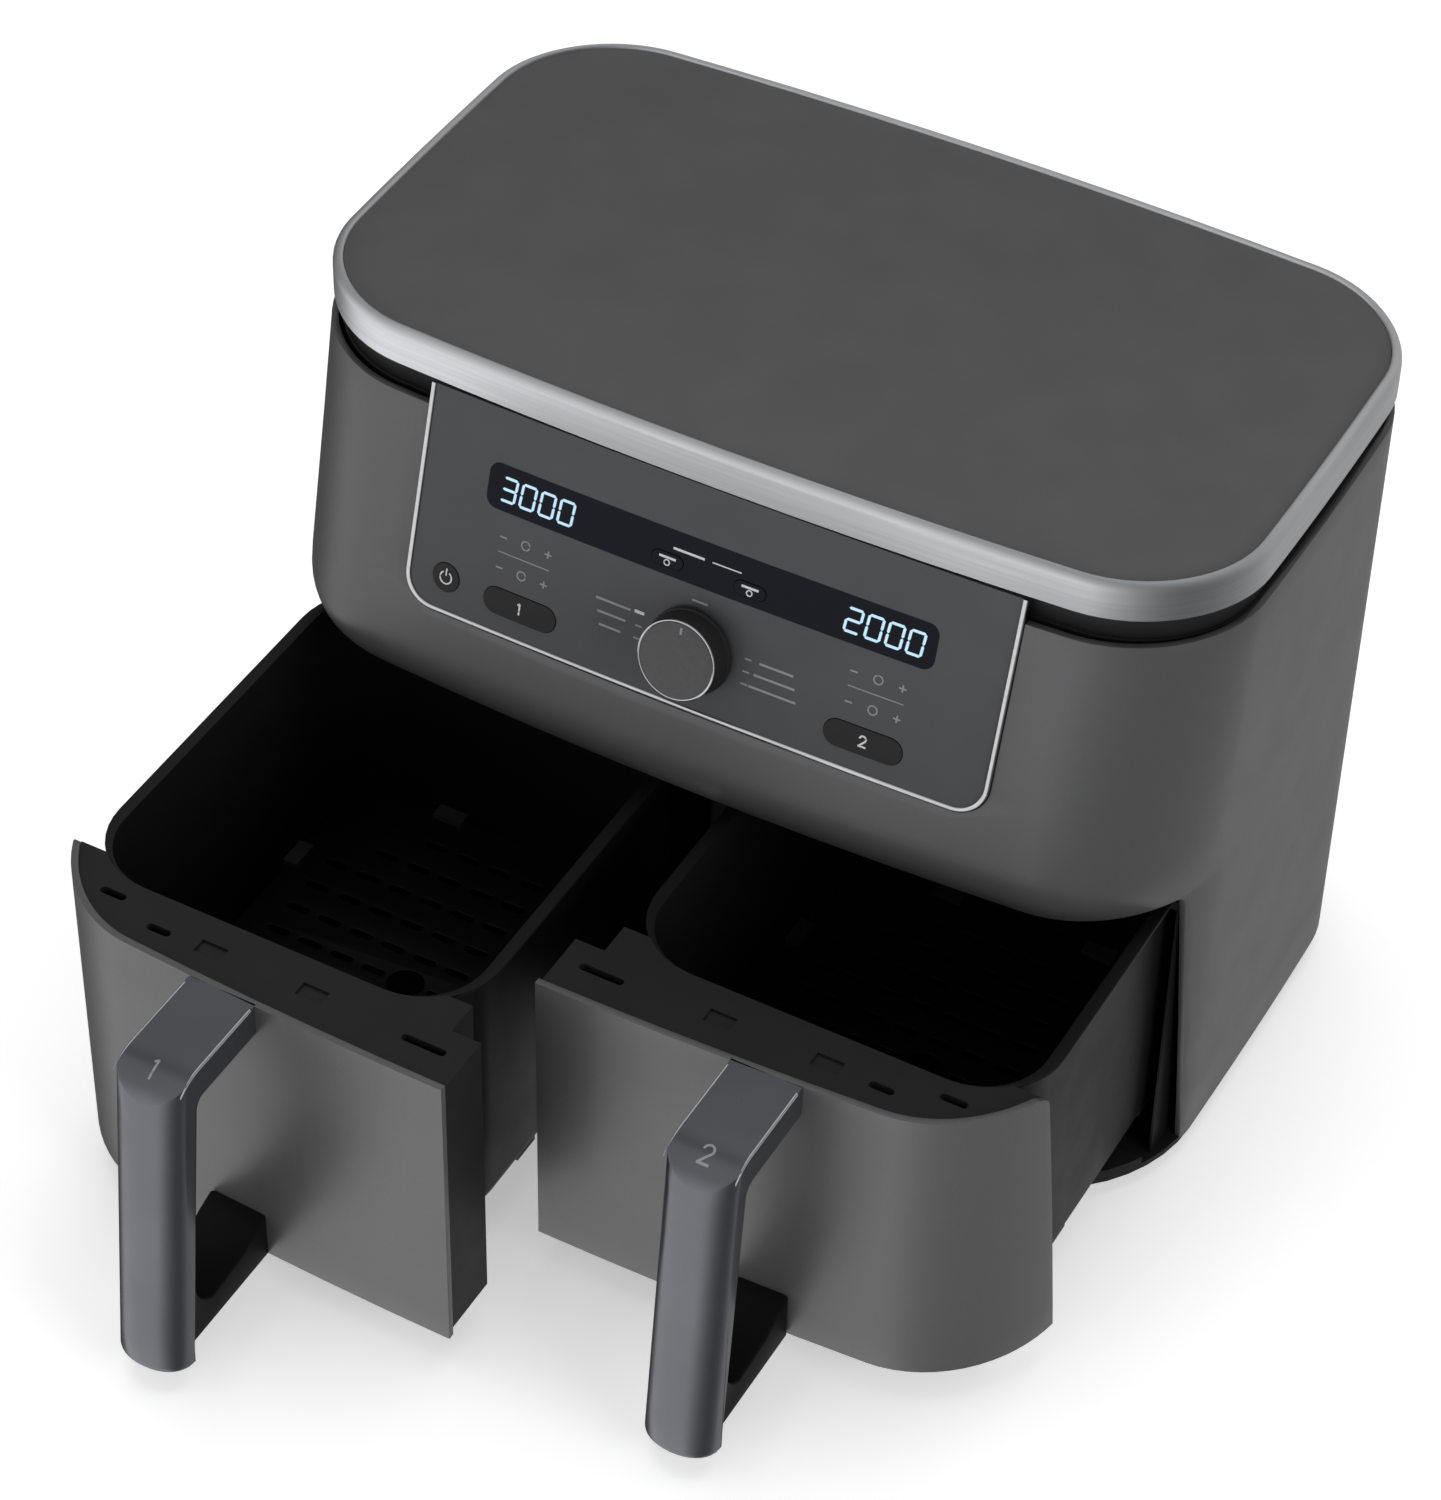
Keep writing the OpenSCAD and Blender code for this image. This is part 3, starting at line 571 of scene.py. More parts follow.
def box_outline(x0, x1, y0, y1, r):
    """Rounded rectangle between two values of x and two of y."""
    return [
        (x + (x0 + x1) / 2, y + (y0 + y1) / 2)
        for x, y in rounded((x1 - x0) / 2, (y1 - y0) / 2, r, 10, 4)
    ]


def at_height(outline, z):
    """A flat outline's points in space."""
    return [(x, y, z) for x, y in outline]


def front_at(z):
    """How far forward the body's front stands at height z, with the crease at the chin eased."""
    if z <= OPENING_Z:
        return DRAWER_FACE
    chin = DRAWER_FACE + (CHIN_FRONT - DRAWER_FACE) * math.sin(
        math.pi / 2 * min(1, (z - OPENING_Z) / (CHIN_Z - OPENING_Z)))
    panel = HALF_D + (RING_Z - z) * math.tan(LEAN)
    ease = 0.6
    return -ease * math.log(math.exp(-chin / ease) + math.exp(-panel / ease))


def flat_panel_point(u, s, w):
    """A point by the leaning panel's middle plane: u across, s down its slope, w outwards."""
    return (
        u,
        -HALF_D - s * math.sin(LEAN) - w * math.cos(LEAN),
        RING_Z - s * math.cos(LEAN) + w * math.sin(LEAN),
    )


def panel_point(u, s, w):
    """The same by the panel's bowed face, which falls back towards both sides."""
    return flat_panel_point(u, s, w - SAG_R + math.sqrt(SAG_R**2 - u * u))


def panel_prism(name, outline, depth):
    """Prism that reaches to the depth on both sides of the panel over (u, s) points."""
    return loft(name, [[flat_panel_point(u, s, w) for u, s in outline] for w in (-depth, depth)])


def box_mesh(name, x0, x1, y0, y1, z0, z1):
    """Block between two values along each axis."""
    outline = [(x0, y0), (x1, y0), (x1, y1), (x0, y1)]
    return loft(name, [at_height(outline, z0), at_height(outline, z1)])


# ---------------------------------------------------------------- casing


def doorway_cut():
    """Prism across the body that cuts the drawers' opening, far out in front and below.

    In its side view of (y, z) points the rear edge is the parting line: up its slope, then
    round its top corner.
    """
    front, foot, reach = -300, -5, HALF_W + 10
    lean_y = OPENING_Y + (OPENING_Z - OPENING_R - foot) * math.tan(OPENING_LEAN)
    corner = arc((OPENING_Y - OPENING_R, OPENING_Z - OPENING_R), OPENING_R,
                 -math.degrees(OPENING_LEAN), 90, 8)
    outline = [(front, foot), (lean_y, foot)] + corner + [(front, OPENING_Z)]
    return loft("doorway", [[(x, y, z) for y, z in outline] for x in (-reach, reach)])


def window_cut():
    """Prism that cuts the casing for the fascia and its trim, up past the casing's edge."""
    gap, over, through = 0.3, -20, 25
    half, low, r = TRIM_U + gap, TRIM_S + gap, TRIM_R + gap
    outline = [(half, over), (-half, over)]
    outline += arc((-half + r, low - r), r, 180, 90, 10) + arc((half - r, low - r), r, 90, 0, 10)
    return panel_prism("window", outline, through)


def rear_cut():
    """Block that cuts the rear wall for its cover."""
    gap, inside, outside = 0.3, 80, 140
    low, high = node_box("rear_cover")
    return box_mesh("rear", low.x - gap, high.x + gap, inside, outside, low.z - gap, high.z + gap)


def make_outer_shell():
    """Wall of the casing, lofted up its outlines, hollowed, and cut for drawers and panels."""
    panel_foot = CHIN_Z + 7
    heights = spaced(BASE_Z, OPENING_Z - 1, 6) + spaced(OPENING_Z, CHIN_Z, 10) + [CHIN_Z + 3]
    heights += spaced(panel_foot, BAND_Z, 8)

    def walls(name, inset, low, high):
        levels = [low, *heights[1:-1], high]
        return loft(name, [at_height(body_outline(inset, front_at(z)), z) for z in levels])

    block = walls("outer_shell_wall", 0, BASE_Z, BAND_Z)
    core = walls("core", WALL, BASE_Z - 5, BAND_Z + 5)
    pierced = cut(block, core, doorway_cut(), window_cut(), rear_cut())
    eased = apply_modifiers(pierced, bevel(0.6, 2, 55))
    add_piece("casing_shell", eased, "shell", "housing", ["outer_shell"])


def make_swept_around_body(name, profile, material, replaces, angle):
    """Ring round the body from a closed profile of (inset, height) points."""
    rings = [at_height(body_outline(inset), z) for inset, z in profile]
    add_piece(name, loft(name, rings, tube=True), material, "housing", replaces, angle)


def make_top():
    """Bright ring with a round edge, the dark band recessed under it, and the plate inside it."""
    ring_in, seat_in, edge, seat = 4.6, 10, 3.4, RING_Z + 3
    ring = [(0.5, RING_Z), (0.12, RING_Z + 0.15), (0, RING_Z + 0.6)]
    ring += arc((edge, BODY_H - edge), edge, 180, 90, 6)
    ring += [(ring_in - 0.4, BODY_H), (ring_in, BODY_H - 0.4), (ring_in, seat),
             (seat_in, seat), (seat_in, RING_Z)]
    make_swept_around_body("trim_ring", ring, "ring", ["top_trim_ring"], 50)

    wall_in, band_out, band_in, foot = WALL + 0.4, 4.5, 9, BAND_Z - 8
    band = [(wall_in, foot), (wall_in, BAND_Z - 1.2), (wall_in + 0.3, BAND_Z - 1),
            (band_out, BAND_Z - 0.9), (band_out, RING_Z), (band_in, RING_Z), (band_in, foot)]
    make_swept_around_body("recessed_band", band, "black", ["top_frame"], 35)

    plate_top, plate_out = BODY_H - 0.8, ring_in + 0.1
    plate = [(7, seat), (plate_out, seat), (plate_out, plate_top - 0.5),
             (plate_out + 0.15, plate_top - 0.15), (plate_out + 0.5, plate_top)]
    mesh = loft("top_plate", [at_height(body_outline(inset), z) for inset, z in plate])
    add_piece("top_plate", mesh, "top", "housing", ["top_panel"])


# ---------------------------------------------------------------- control panel


def make_fascia_trim():
    """Bright strip down one side of the fascia, round its lower corners and up the other side."""
    mid, top = TRIM_W / 2, 0.3
    half, low, r = TRIM_U - mid, TRIM_S - mid, TRIM_R - mid
    down = spaced(top, low - r, 8)
    route = [(-half, s) for s in down] + arc((-half + r, low - r), r, 180, 90, 10)[1:]
    route += [(u, low) for u in spaced(r - half, half - r, 24)[1:-1]]
    route += arc((half - r, low - r), r, 90, 0, 10) + [(half, s) for s in down[-2::-1]]
    profile = [(-mid, -WALL), (mid, -WALL), (mid, 0.25), (mid - 0.25, 0.62), (mid - 0.6, 0.7),
               (-mid + 0.6, 0.7), (-mid + 0.25, 0.62), (-mid, 0.25)]
    rings = []
    for i, (u, s) in enumerate(route):
        before, after = route[max(i - 1, 0)], route[min(i + 1, len(route) - 1)]
        along = Vector((after[0] - before[0], after[1] - before[1])).normalized()
        rings.append([panel_point(u + along.y * a, s - along.x * a, b) for a, b in profile])
    mesh = loft("fascia_edge", rings)
    add_piece("fascia_edge", mesh, "chrome", "housing", ["fascia_trim"], 50)


def strokes(name, shapes, material, body, lift, depth, place=panel_point):
    """Thin printed marks: each shape is an outline of (u, s) points, raised just off the panel."""
    points, faces = [], []
    for outline in shapes:
        start, size = len(points), len(outline)
        for w in (lift, lift + depth):
            points += [place(u, s, w) for u, s in outline]
        faces.append(tuple(range(start, start + size)))
        faces.append(tuple(range(start + size, start + 2 * size))[::-1])
        for k in range(size):
            n = (k + 1) % size
            faces.append((start + k, start + size + k, start + size + n, start + n))
    add_piece(name, closed_mesh(name, points, faces), material, body)


def bar(u, s, length, width, turn=0.0):
    """Rectangle about (u, s), turned anticlockwise."""
    c, d = math.cos(math.radians(turn)), math.sin(math.radians(turn))
    corners = [(-length / 2, -width / 2), (length / 2, -width / 2),
               (length / 2, width / 2), (-length / 2, width / 2)]
    return [(u + x * c + y * d, s - x * d + y * c) for x, y in corners]


def hoop(u, s, r, width, start, end, steps=24):
    """Quads of a ring of radius r between two angles."""
    inner = arc((u, s), r - width / 2, start, end, steps)
    outer = arc((u, s), r + width / 2, start, end, steps)
    return [[inner[k], outer[k], outer[k + 1], inner[k + 1]] for k in range(steps)]


# Segments of a digit, on a cell one wide and two high: middle and whether it stands upright
SEGMENTS = {
    "a": (0.5, 0, False), "g": (0.5, 1, False), "d": (0.5, 2, False),
    "f": (0, 0.5, True), "b": (1, 0.5, True), "e": (0, 1.5, True), "c": (1, 1.5, True),
}
DIGITS = {"0": "abcdef", "2": "abged", "3": "abgcd"}


def segment_digit(digit, u, s, width, height, thick):
    """Outlines of a slanting seven-segment digit whose top left corner is near (u, s)."""
    shapes, slant = [], 0.08
    for name in DIGITS[digit]:
        cx, cy, upright = SEGMENTS[name]
        half = (height / 4 if upright else width / 2) - thick * 0.55
        x, y = cx * width, cy * height / 2
        t = thick / 2
        if upright:
            ends = [(0, -half - t), (t, -half), (t, half), (0, half + t), (-t, half), (-t, -half)]
        else:
            ends = [(-half - t, 0), (-half, -t), (half, -t), (half + t, 0), (half, t), (-half, t)]
        shapes.append([
            (u + x + dx + slant * (height - y - dy), s + y + dy) for dx, dy in ends
        ])
    return shapes


def make_display():
    """The display's two four-digit readings."""
    width, height, thick, pitch, top = 6.2, 10, 1.15, 8.9, 28.3
    for number, name, left in (("3000", "left", -94), ("2000", "right", 61.5)):
        shapes = []
        for k, digit in enumerate(number):
            shapes += segment_digit(digit, left + pitch * k, top, width, height, thick)
        strokes("display_digits_" + name, shapes, "digit", "housing", 0.12, 0.1)


def line(start, end, width, parts=6):
    """Straight stroke between two (u, s) points as short quads, so that it can follow a bend."""
    along = Vector(end) - Vector(start)
    side = Vector((-along.y, along.x)).normalized() * width / 2
    stops = [Vector(start) + along * k / parts for k in range(parts + 1)]
    return [[tuple(a + side), tuple(b + side), tuple(b - side), tuple(a - side)]
            for a, b in zip(stops, stops[1:])]


def numeral(digit, u, s, height, thick):
    """Strokes of a 1 or a 2 for a key or a handle, centred on (u, s)."""
    top, foot = s - height / 2, s + height / 2
    if digit == "1":
        flag = (u - height * 0.2, top + height * 0.17)
        return line((u, top), (u, foot), thick) + line((u, top), flag, thick, 2)
    r = height * 0.27
    turn = math.radians(25)
    elbow = (u + r * math.cos(turn), top + r + r * math.sin(turn))
    shapes = hoop(u, top + r, r, thick, 180, 385, 14)
    base = foot - thick / 2
    shapes += line(elbow, (u - r, base), thick)
    return shapes + line((u - r - thick / 2, base), (u + r + thick / 2, base), thick, 3)


def zone_marks(u):
    """Two rows of minus, ring and plus over a zone key, with a line between them."""
    dash, thin, apart = 3.2, 0.7, 10.5
    shapes = []
    for s in (54, 67.5):
        shapes += [bar(u - apart, s, dash, thin), bar(u + apart, s, dash, thin),
                   bar(u + apart, s, dash, thin, 90)]
        shapes += hoop(u, s, 1.9, 0.6, 0, 360)
    return shapes + [bar(u, 60.6, 24, 0.45)]


def dial_marks():
    """Strokes for the words on both sides of the dial, each with its dash, and the top mark."""
    shapes = []
    for k, s in enumerate((63.5, 69, 74.5)):
        right_s = s + 2
        shapes += [bar(-37, s, 16 - 3 * k, 1.0), bar(37, right_s, 15 + 3 * k, 1.0)]
        shapes += [bar(-24.5, s, 3, 0.7), bar(24.5, right_s, 3, 0.7)]
    return shapes + [bar(0, 49.2, 7, 0.8)]


def make_panel_marks():
    """Plain strokes and rings in place of the panel's words and signs."""
    marks_u = 79.5
    dim = zone_marks(-marks_u) + zone_marks(marks_u) + dial_marks()
    strokes("panel_marks", dim, "mark", "housing", 0.0, 0.12)
    chosen = bar(-25, 63, 4.4, 1.3)
    over_keys = [bar(-8, 30.6, 14, 1.0), bar(9, 30.6, 13, 0.5)]
    strokes("panel_marks_bright", [chosen] + over_keys, "mark_bright", "housing", 0.11, 0.1)


def make_key_marks():
    """Power sign, the zones' numerals and the signs of the two keys in the display window."""
    power = hoop(POWER_U, POWER_S, 2.7, 0.65, -60, 240)
    power.append(bar(POWER_U, POWER_S - 2.5, 0.65, 3.2))
    strokes("power_mark", power, "mark_bright", "power_key", KEY_FACE, KEY_PRINT)
    for digit, side in (("1", -1), ("2", 1)):
        strokes("zone_mark_" + digit, numeral(digit, side * ZONE_U, ZONE_S, 5, 0.75),
                "mark_bright", f"zone_{digit}_key", KEY_FACE, KEY_PRINT)
    for name, u in (("match", -16.8), ("sync", 20.2)):
        shapes = [bar(u, 35.4, 7.5, 1.0)] + hoop(u, 37.6, 1.2, 0.5, 0, 360, 16)
        strokes(name + "_mark", shapes, "mark_bright", name + "_key", KEY_FACE, KEY_PRINT)


def turned_on_dial(name, profile, tube=False):
    """Shape turned about the dial's axis from (radius, height) points."""
    turns = spaced(0, 2 * math.pi, 96)[:-1]
    rings = [[flat_panel_point(r * math.cos(t), DIAL_S - r * math.sin(t), w) for t in turns]
             for r, w in profile]
    return loft(name, rings, tube)


def make_dial():
    """Black knob with a bright rim round a slightly dished face, and its pointer."""
    r, bore, low, top = 18.5, 3.2, 1.3, 14.0
    collar = [(bore, low + 0.2), (r - 0.5, low), (r, low + 0.5), (r, low + 1.9),
              (r - 0.2, low + 2.3), (r - 0.7, low + 2.6), (r - 1.2, top - 1.1),
              (r - 1.35, top - 0.9), (bore, top - 0.9)]
    mesh = turned_on_dial("dial_collar", collar)
    add_piece("dial_collar", mesh, "black", "dial", ["dial_knob"])
    rim = [(r - 2.0, top - 0.9), (r - 1.35, top - 0.9), (r - 1.25, top - 0.5),
           (r - 1.45, top - 0.1), (r - 1.8, top), (r - 2.2, top - 0.15), (r - 2.3, top - 0.5)]
    mesh = turned_on_dial("dial_rim", rim, tube=True)
    add_piece("dial_rim", mesh, "chrome", "dial")
    face = [(r - 2.2, top - 0.9), (r - 2.25, top - 0.45), (r - 3, top - 0.5), (r - 6, top - 0.72),
            (6, top - 0.85), (1, top - 0.88)]
    mesh = turned_on_dial("dial_face", face)
    add_piece("dial_face", mesh, "knob_face", "dial")
    pointer_r = 13.2
    strokes("dial_pointer", [bar(0, DIAL_S - pointer_r, 1.0, 3.4)], "mark", "dial", top - 0.68,
            0.1, flat_panel_point)


# ---------------------------------------------------------------- drawers


def mirrored(side, points):
    """Points of the right drawer, on the drawer of that side."""
    return [(SIDES[side] * x, y, z) for x, y, z in points]


def make_tub(side):
    """Pressed tub with a round floor edge and a flat rim turned outwards."""
    rim_out, behind_face, rear = 4.5, 36.3, 98
    x0, x1 = TUB_LOW.x + rim_out, TUB_HIGH.x - rim_out
    y0, y1 = behind_face - DRAWER_FACE - OUT[side], rear - OUT[side]
    floor, rim = TUB_LOW.z, TUB_HIGH.z
    r, t, foot = 30, 1.2, 9

    def ring(inset, z):
        outline = box_outline(x0 + inset, x1 - inset, y0 + inset, y1 - inset, r - inset)
        return mirrored(side, at_height(outline, z))

    def foot_rings(radius, inset, angles):
        """Rings down or up a round floor edge, from its angles in degrees."""
        return [
            ring(inset + radius - radius * math.cos(a),
                 floor + inset + radius - radius * math.sin(a))
            for a in map(math.radians, angles)
        ]

    def flange(grow, z):
        """Ring of the rim, which grows outwards at the sides and less at the rear."""
        k = grow / rim_out
        outline = box_outline(x0 - grow, x1 + grow, y0, y1 + 2 * k, r + 4 * k)
        return mirrored(side, at_height(outline, z))

    outer = foot_rings(foot, 0, range(90, -1, -15))
    lip = [ring(0, rim - 1.5), flange(4.2, rim - 1.45), flange(rim_out, rim - 1.2),
           flange(rim_out, rim - 0.4), flange(4.2, rim - 0.05), flange(3.6, rim),
           ring(t - 0.9, rim), ring(t - 0.3, rim - 0.12), ring(t, rim - 0.6)]
    inner = foot_rings(foot - t, t, range(0, 91, 15))
    mesh = loft("tub_" + side, outer + lip + inner)
    add_piece("tub_shell_" + side, mesh, "nonstick", "drawer_" + side, ["tub_" + side])


def plate_curve(name, outline, holes, thick, edge, z):
    """Flat perforated plate from a filled curve with rounded edges."""
    data = bpy.data.curves.new(name, "CURVE")
    data.dimensions = "2D"
    data.fill_mode = "BOTH"
    data.extrude = (thick / 2 - edge) / 1000
    data.bevel_depth = edge / 1000
    data.bevel_resolution = 2
    data.offset = -edge / 1000
    for loop in [outline, *holes]:
        spline = data.splines.new("POLY")
        spline.points.add(len(loop) - 1)
        spline.use_cyclic_u = True
        for point, (x, y) in zip(spline.points, loop):
            point.co = (*row(x, y, 0).xy, 0, 1)
    mesh = mesh_of(in_scene(name, data))
    mesh.transform(Matrix.Translation((0, 0, (z + thick / 2) / 1000)))
    return welded(mesh)


def slot_outline(x, y, length, width):
    """Slot with round ends about (x, y)."""
    r = width / 2
    right = arc((x + length / 2 - r, y), r, -90, 90, 6)
    return right + arc((x - length / 2 + r, y), r, 90, 270, 6)


def make_plate(side):
    """Crisper plate with rows of slots, none at its corners, round a finger hole."""
    low, high = node_box("crisper_plate_" + side)
    x0, x1 = low.x, high.x
    y0, y1 = low.y - SHIFT_Y, high.y - SHIFT_Y
    mx, my = (x0 + x1) / 2, (y0 + y1) / 2
    pitch_x, pitch_y, finger_r, corner_r, thick = 16, 15.5, 8, 26.8, 1.5
    holes = [
        slot_outline(mx + pitch_x * i, my + pitch_y * j, 11, 3.4)
        for i in range(-4, 5) for j in range(-5, 6) if 0 < abs(i) + abs(j) < 8
    ]
    holes.append(arc((mx, my), finger_r, 0, 360, 32)[:-1])
    outline = box_outline(x0, x1, y0, y1, corner_r)
    mesh = plate_curve("plate_" + side, outline, holes, thick, 0.4, low.z)
    add_piece("crisper_tray_" + side, mesh, "nonstick", "crisper_" + side,
              ["crisper_plate_" + side])


def along_outline(outline, y):
    """The point of an outline, which runs towards +y, at a given y."""
    for (x0, y0), (x1, y1) in zip(outline, outline[1:]):
        if y0 <= y <= y1:
            return x0 + (x1 - x0) * (y - y0) / (y1 - y0), y
    return outline[-1]


def make_skin(side):
    """Curved drawer front, from the middle seam round the outer corner to the parting line."""
    seam, low, high = SKIN_LOW.x, SKIN_LOW.z, SKIN_HIGH.z
    r, end = OPENING_R - 1, OPENING_Y - CLOSING_GAP
    # Its plan in the order of its turn about a hub inside the corner
    hub_x, hub_y = 100, -60
    outline = sorted(
        (p for p in body_outline(0, DRAWER_FACE) if p[1] < 0 and p[0] > seam + 2),
        key=lambda p: math.atan2(p[1] - hub_y, p[0] - hub_x))
    start = (seam, -DRAWER_FACE * (1 - FRONT_BULGE / HALF_D * (seam / HALF_W) ** 2))
    shared = [start] + [p for p in outline if p[1] < end - 2 * r]
    round_top = [high - r + r * math.sin(math.radians(a)) for a in range(90, 0, -15)]
    heights = round_top + spaced(high - r, low, 10)
    last_steps = 6

    def reach(z):
        """How far back the front comes at height z: a leaning edge under a round corner."""
        if z > high - r:
            return end - r + math.sqrt(max(r * r - (z - high + r) ** 2, 0))
        return end + (high - r - z) * math.tan(OPENING_LEAN)

    rows = []
    for z in heights:
        rest = spaced(shared[-1][1], reach(z), last_steps)[1:]
        more = [along_outline(outline, y) for y in rest]
        rows.append(mirrored(side, [(x, y - OUT[side], z) for x, y in shared + more]))
    n = len(rows[0])
    faces = [(i * n + k, i * n + k + 1, (i + 1) * n + k + 1, (i + 1) * n + k)
             for i in range(len(rows) - 1) for k in range(n - 1)]
    mesh = bpy.data.meshes.new("skin_" + side)
    mesh.from_pydata([row(*p) for points in rows for p in points], [], faces)
    if SIDES[side] > 0:
        mesh.flip_normals()
    solid = {"thickness": (WALL - 0.05) / 1000, "offset": -1, "use_even_offset": True}
    thick = apply_modifiers(mesh, ("SOLIDIFY", solid))
    # The inner face must not reach past the parting line
    for vertex in thick.vertices:
        rear = row(0, reach(vertex.co.z * 1000) - OUT[side], 0).y
        vertex.co.y = min(vertex.co.y, rear)
    thick = apply_modifiers(thick, bevel(0.8, 3, 50))
    add_piece("drawer_front_" + side, thick, "front", "drawer_" + side,
              ["front_skin_" + side])


# Handles, in a side view of d, the distance out from the drawer's face, and height
ARM_Z = GRIP_HIGH.z
GRIP_Z = GRIP_LOW.z
GRIP_HALF = (GRIP_HIGH.x - GRIP_LOW.x) / 2
GRIP_X = (GRIP_HIGH.x + GRIP_LOW.x) / 2
REACH = -GRIP_LOW.y + SHIFT_Y - DRAWER_FACE - OUT["right"]
ARM_H = 15
ROOT_D = -2.9
# The arm's top bends down at BEND_START into the grip's front, which leans out to REACH
BEND_R, BEND_START, BEND_TURN = 21, 36.5, math.radians(60)
FRONT_TOP = BEND_START + BEND_R * math.sin(BEND_TURN)
FRONT_Z = ARM_Z - BEND_R * (1 - math.cos(BEND_TURN))
GRIP_ROUND = 5
GRIP_SLOPE = (REACH - FRONT_TOP) / (FRONT_Z - GRIP_Z - GRIP_ROUND)
GRIP_T = 15
INNER_BEND = 6


def grip_front(z):
    """Distance out from the drawer of the grip's front at height z."""
    return REACH - GRIP_SLOPE * (z - GRIP_Z - GRIP_ROUND)


def grip_fall(x):
    """How far the grip's round front falls back from its middle line at x."""
    depth, power = 9.8, 2.0
    return depth * (1 - (1 - abs(x / GRIP_HALF) ** power) ** (1 / power))


def top_height(d):
    """Height of the handle's upper face at a distance out from the drawer."""
    if d <= BEND_START:
        return ARM_Z
    return ARM_Z - BEND_R + math.sqrt(max(BEND_R**2 - (d - BEND_START) ** 2, 0))


def handle_place(side):
    """Function from a handle's (x, d, height) to millimetres about the body."""
    return lambda x, d, z: (SIDES[side] * GRIP_X + x, -DRAWER_FACE - OUT[side] - d, z)


def make_grip(side):
    """Arm with a flat top that bends down into an upright grip with a round front."""
    place = handle_place(side)
    across = [GRIP_HALF * math.sin(math.radians(a)) for a in range(-90, 91, 10)]
    arm_low, low_z = ARM_Z - ARM_H, GRIP_Z + GRIP_ROUND
    bend_d = grip_front(arm_low - INNER_BEND) - GRIP_T - INNER_BEND
    rear = [(grip_front(GRIP_Z + h) - GRIP_T, GRIP_Z + h)
            for h in [0] + spaced(8, 104, 4) + [120]]
    rear += arc((bend_d, arm_low - INNER_BEND), INNER_BEND, 0, 90, 6)
    rear += [(d, arm_low) for d in spaced(bend_d, ROOT_D, 4)[1:]]
    rows = []
    for x in across:
        fall = grip_fall(x)
        edge_d = FRONT_TOP - fall
        edge_z = top_height(edge_d)
        column = [(ROOT_D, ARM_Z - 7)] + [(d, ARM_Z) for d in spaced(ROOT_D, BEND_START, 5)]
        column += [(d, top_height(d)) for d in spaced(BEND_START, edge_d, 8)[1:]]
        leaning = zip(spaced(edge_d, edge_d + REACH - FRONT_TOP, 12), spaced(edge_z, low_z, 12))
        column += list(leaning)[1:]
        column += arc((REACH - fall - GRIP_ROUND, low_z), GRIP_ROUND, -22.5, -90, 3)
        rows.append([place(x, d, z) for d, z in column + rear])
    mesh = loft("grip_" + side, rows)
    smooth = apply_modifiers(mesh, bevel(0.5, 2, 24))
    add_piece("grip_shell_" + side, smooth, "grip", "drawer_" + side,
              ["handle_grip_" + side], 20)


def make_handle_inner(side):
    """Black inner half of the handle, with the lower arm that returns to the drawer."""
    place = handle_place(side)
    gap, t, r = 0.1, 4, 16
    lower_z, arm_low = GRIP_Z + 7, ARM_Z - ARM_H
    floor_z = lower_z + 13
    bend = (grip_front(arm_low - INNER_BEND) - GRIP_T - INNER_BEND, arm_low - INNER_BEND)
    floor = (grip_front(floor_z + r) - GRIP_T - t - r, floor_z + r)
    profile = [(ROOT_D, arm_low - gap), (ROOT_D, arm_low - t)]
    profile += arc((bend[0] - t, bend[1] - t), INNER_BEND, 90, 0, 6)
    profile += arc(floor, r, 0, -70, 8)
    profile += [(floor[0] * 0.5, floor_z + 3.4), (floor[0] * 0.2, floor_z + 8)]
    profile += [(ROOT_D, floor_z + 11), (ROOT_D, lower_z)]
    profile += [(grip_front(lower_z) - GRIP_T - gap, lower_z)]
    profile += arc((bend[0] - gap, bend[1] - gap), INNER_BEND, 0, 90, 6)
    half = GRIP_HALF - 2
    mesh = loft("inner_" + side, [[place(x, d, z) for d, z in profile] for x in (-half, half)])
    smooth = apply_modifiers(mesh, bevel(1.2, 3, 40))
    add_piece("handle_core_" + side, smooth, "core", "drawer_" + side,
              ["handle_inner_" + side])


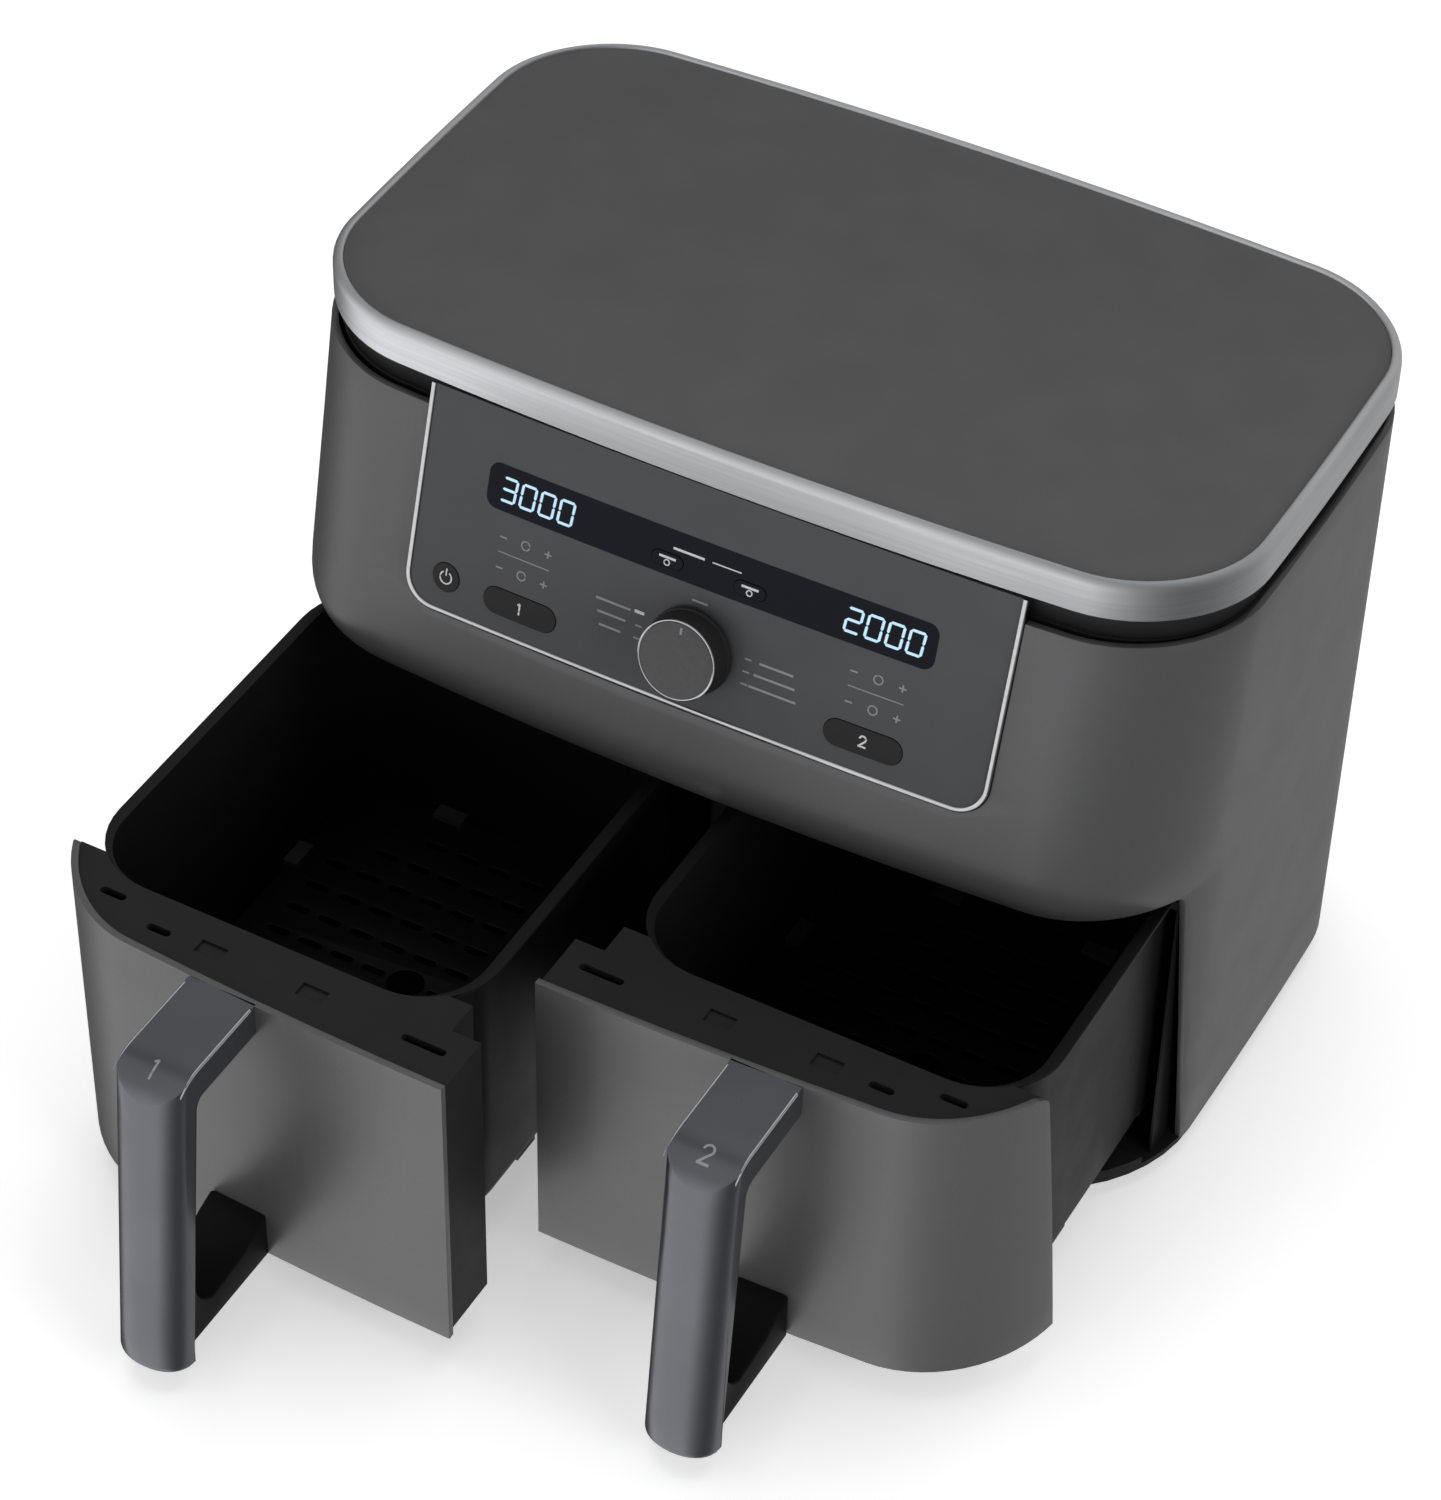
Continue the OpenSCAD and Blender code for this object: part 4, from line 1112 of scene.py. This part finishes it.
def make_handle_trim(side):
    """Bright strip along each upper edge of the arm, a painted highlight that narrows away towards
    the bend, and the drawer's numeral on the bend.
    """
    place = handle_place(side)
    steps, width, proud, deep = 16, 0.75, 0.06, 0.8
    for name, edge in (("inner", -1), ("outer", 1)):
        rings = []
        for k, d in enumerate(spaced(0.6, BEND_START + 13, steps)):
            # The painted highlight narrows towards the bend, where it fades
            w = width * min(1, (steps - k) / 4 + 0.15)
            z = top_height(d)
            section = [(-w, -deep), (proud, -deep), (proud, -0.3), (-0.25, proud), (-w, proud)]
            rings.append([place(edge * (GRIP_HALF + a), d, z + b) for a, b in section])
        add_piece(f"handle_edge_highlight_{name}_{side}", loft("line", rings), "line", "drawer_" + side)

    def on_bend(u, s, w):
        """A point by the handle's upper face: s out from where its bend starts, w off it."""
        slope = math.asin(min(1, max(0, s / BEND_R)))
        return place(u, BEND_START + s + w * math.sin(slope),
                     top_height(BEND_START + s) + w * math.cos(slope))

    digit = "1" if side == "left" else "2"
    strokes("handle_numeral_" + side, numeral(digit, 0, 7.5, 8, 1.0), "numeral",
            "drawer_" + side, 0.02, 0.1, on_bend)


# ---------------------------------------------------------------- CAD parts that stay

KEPT = {
    # The drawer rails, galvanised in the CAD record, take the black plastic: painted shade where
    # their ends show in the opening
    "black": ["base_pan", "header_beam", "centre_wall", "rear_cover", "air_outlets", "cord_gland",
              "drawer_rails", "drawer_switches", "cooling_fan_left", "cooling_fan_right",
              "front_bezel_left", "front_bezel_right", "power_button", "zone_1_button",
              "zone_2_button"],
    "rubber": ["rubber_feet"],
    # The liners, galvanised sheet in the CAD record, take the dark non-stick material: painted
    # shade for the inside of the body
    "nonstick": ["liner_left", "liner_right"],
    "galvanised": ["heat_shield_left", "heat_shield_right", "fan_guard_left",
                   "fan_guard_right", "motor_left", "motor_right", "hot_fan_left", "hot_fan_right"],
    "element": ["heater_left", "heater_right"],
    "fascia": ["fascia"],
    "glass": ["display_window", "match_button", "sync_button"],
    "board": ["control_board", "main_board"],
    "steel": ["dial_encoder", "housing_screws", "fan_shaft_left", "fan_shaft_right",
              "dial_spindle"],
    "copper": ["temp_sensors"],
    "wire": ["wiring_harness"],
    "silicone": ["crisper_bumpers_left", "crisper_bumpers_right"],
}
# Width of the bevel on a kept part's edges, where it isn't the plain one
PLAIN_EDGE = 0.3
EDGE_WIDTH = {"front_bezel_left": 0.6, "front_bezel_right": 0.6, "rubber_feet": 0.8,
              "base_pan": 0.6, "fascia": 0.15, "display_window": 0.15}


def finish_kept_parts():
    """Material and small bevels for the CAD parts that aren't replaced."""
    for material, names in KEPT.items():
        for name in names:
            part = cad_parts[name]
            part.data.materials.clear()
            part.data.materials.append(MATERIALS[material])
            add_modifier(part, "edge", *bevel(EDGE_WIDTH.get(name, PLAIN_EDGE)))


# ---------------------------------------------------------------- build

add_camera()
add_stage()
make_outer_shell()
make_top()
make_fascia_trim()
make_display()
make_panel_marks()
make_key_marks()
make_dial()
for drawer_side in SIDES:
    make_tub(drawer_side)
    make_plate(drawer_side)
    make_skin(drawer_side)
    make_grip(drawer_side)
    make_handle_inner(drawer_side)
    make_handle_trim(drawer_side)
finish_kept_parts()
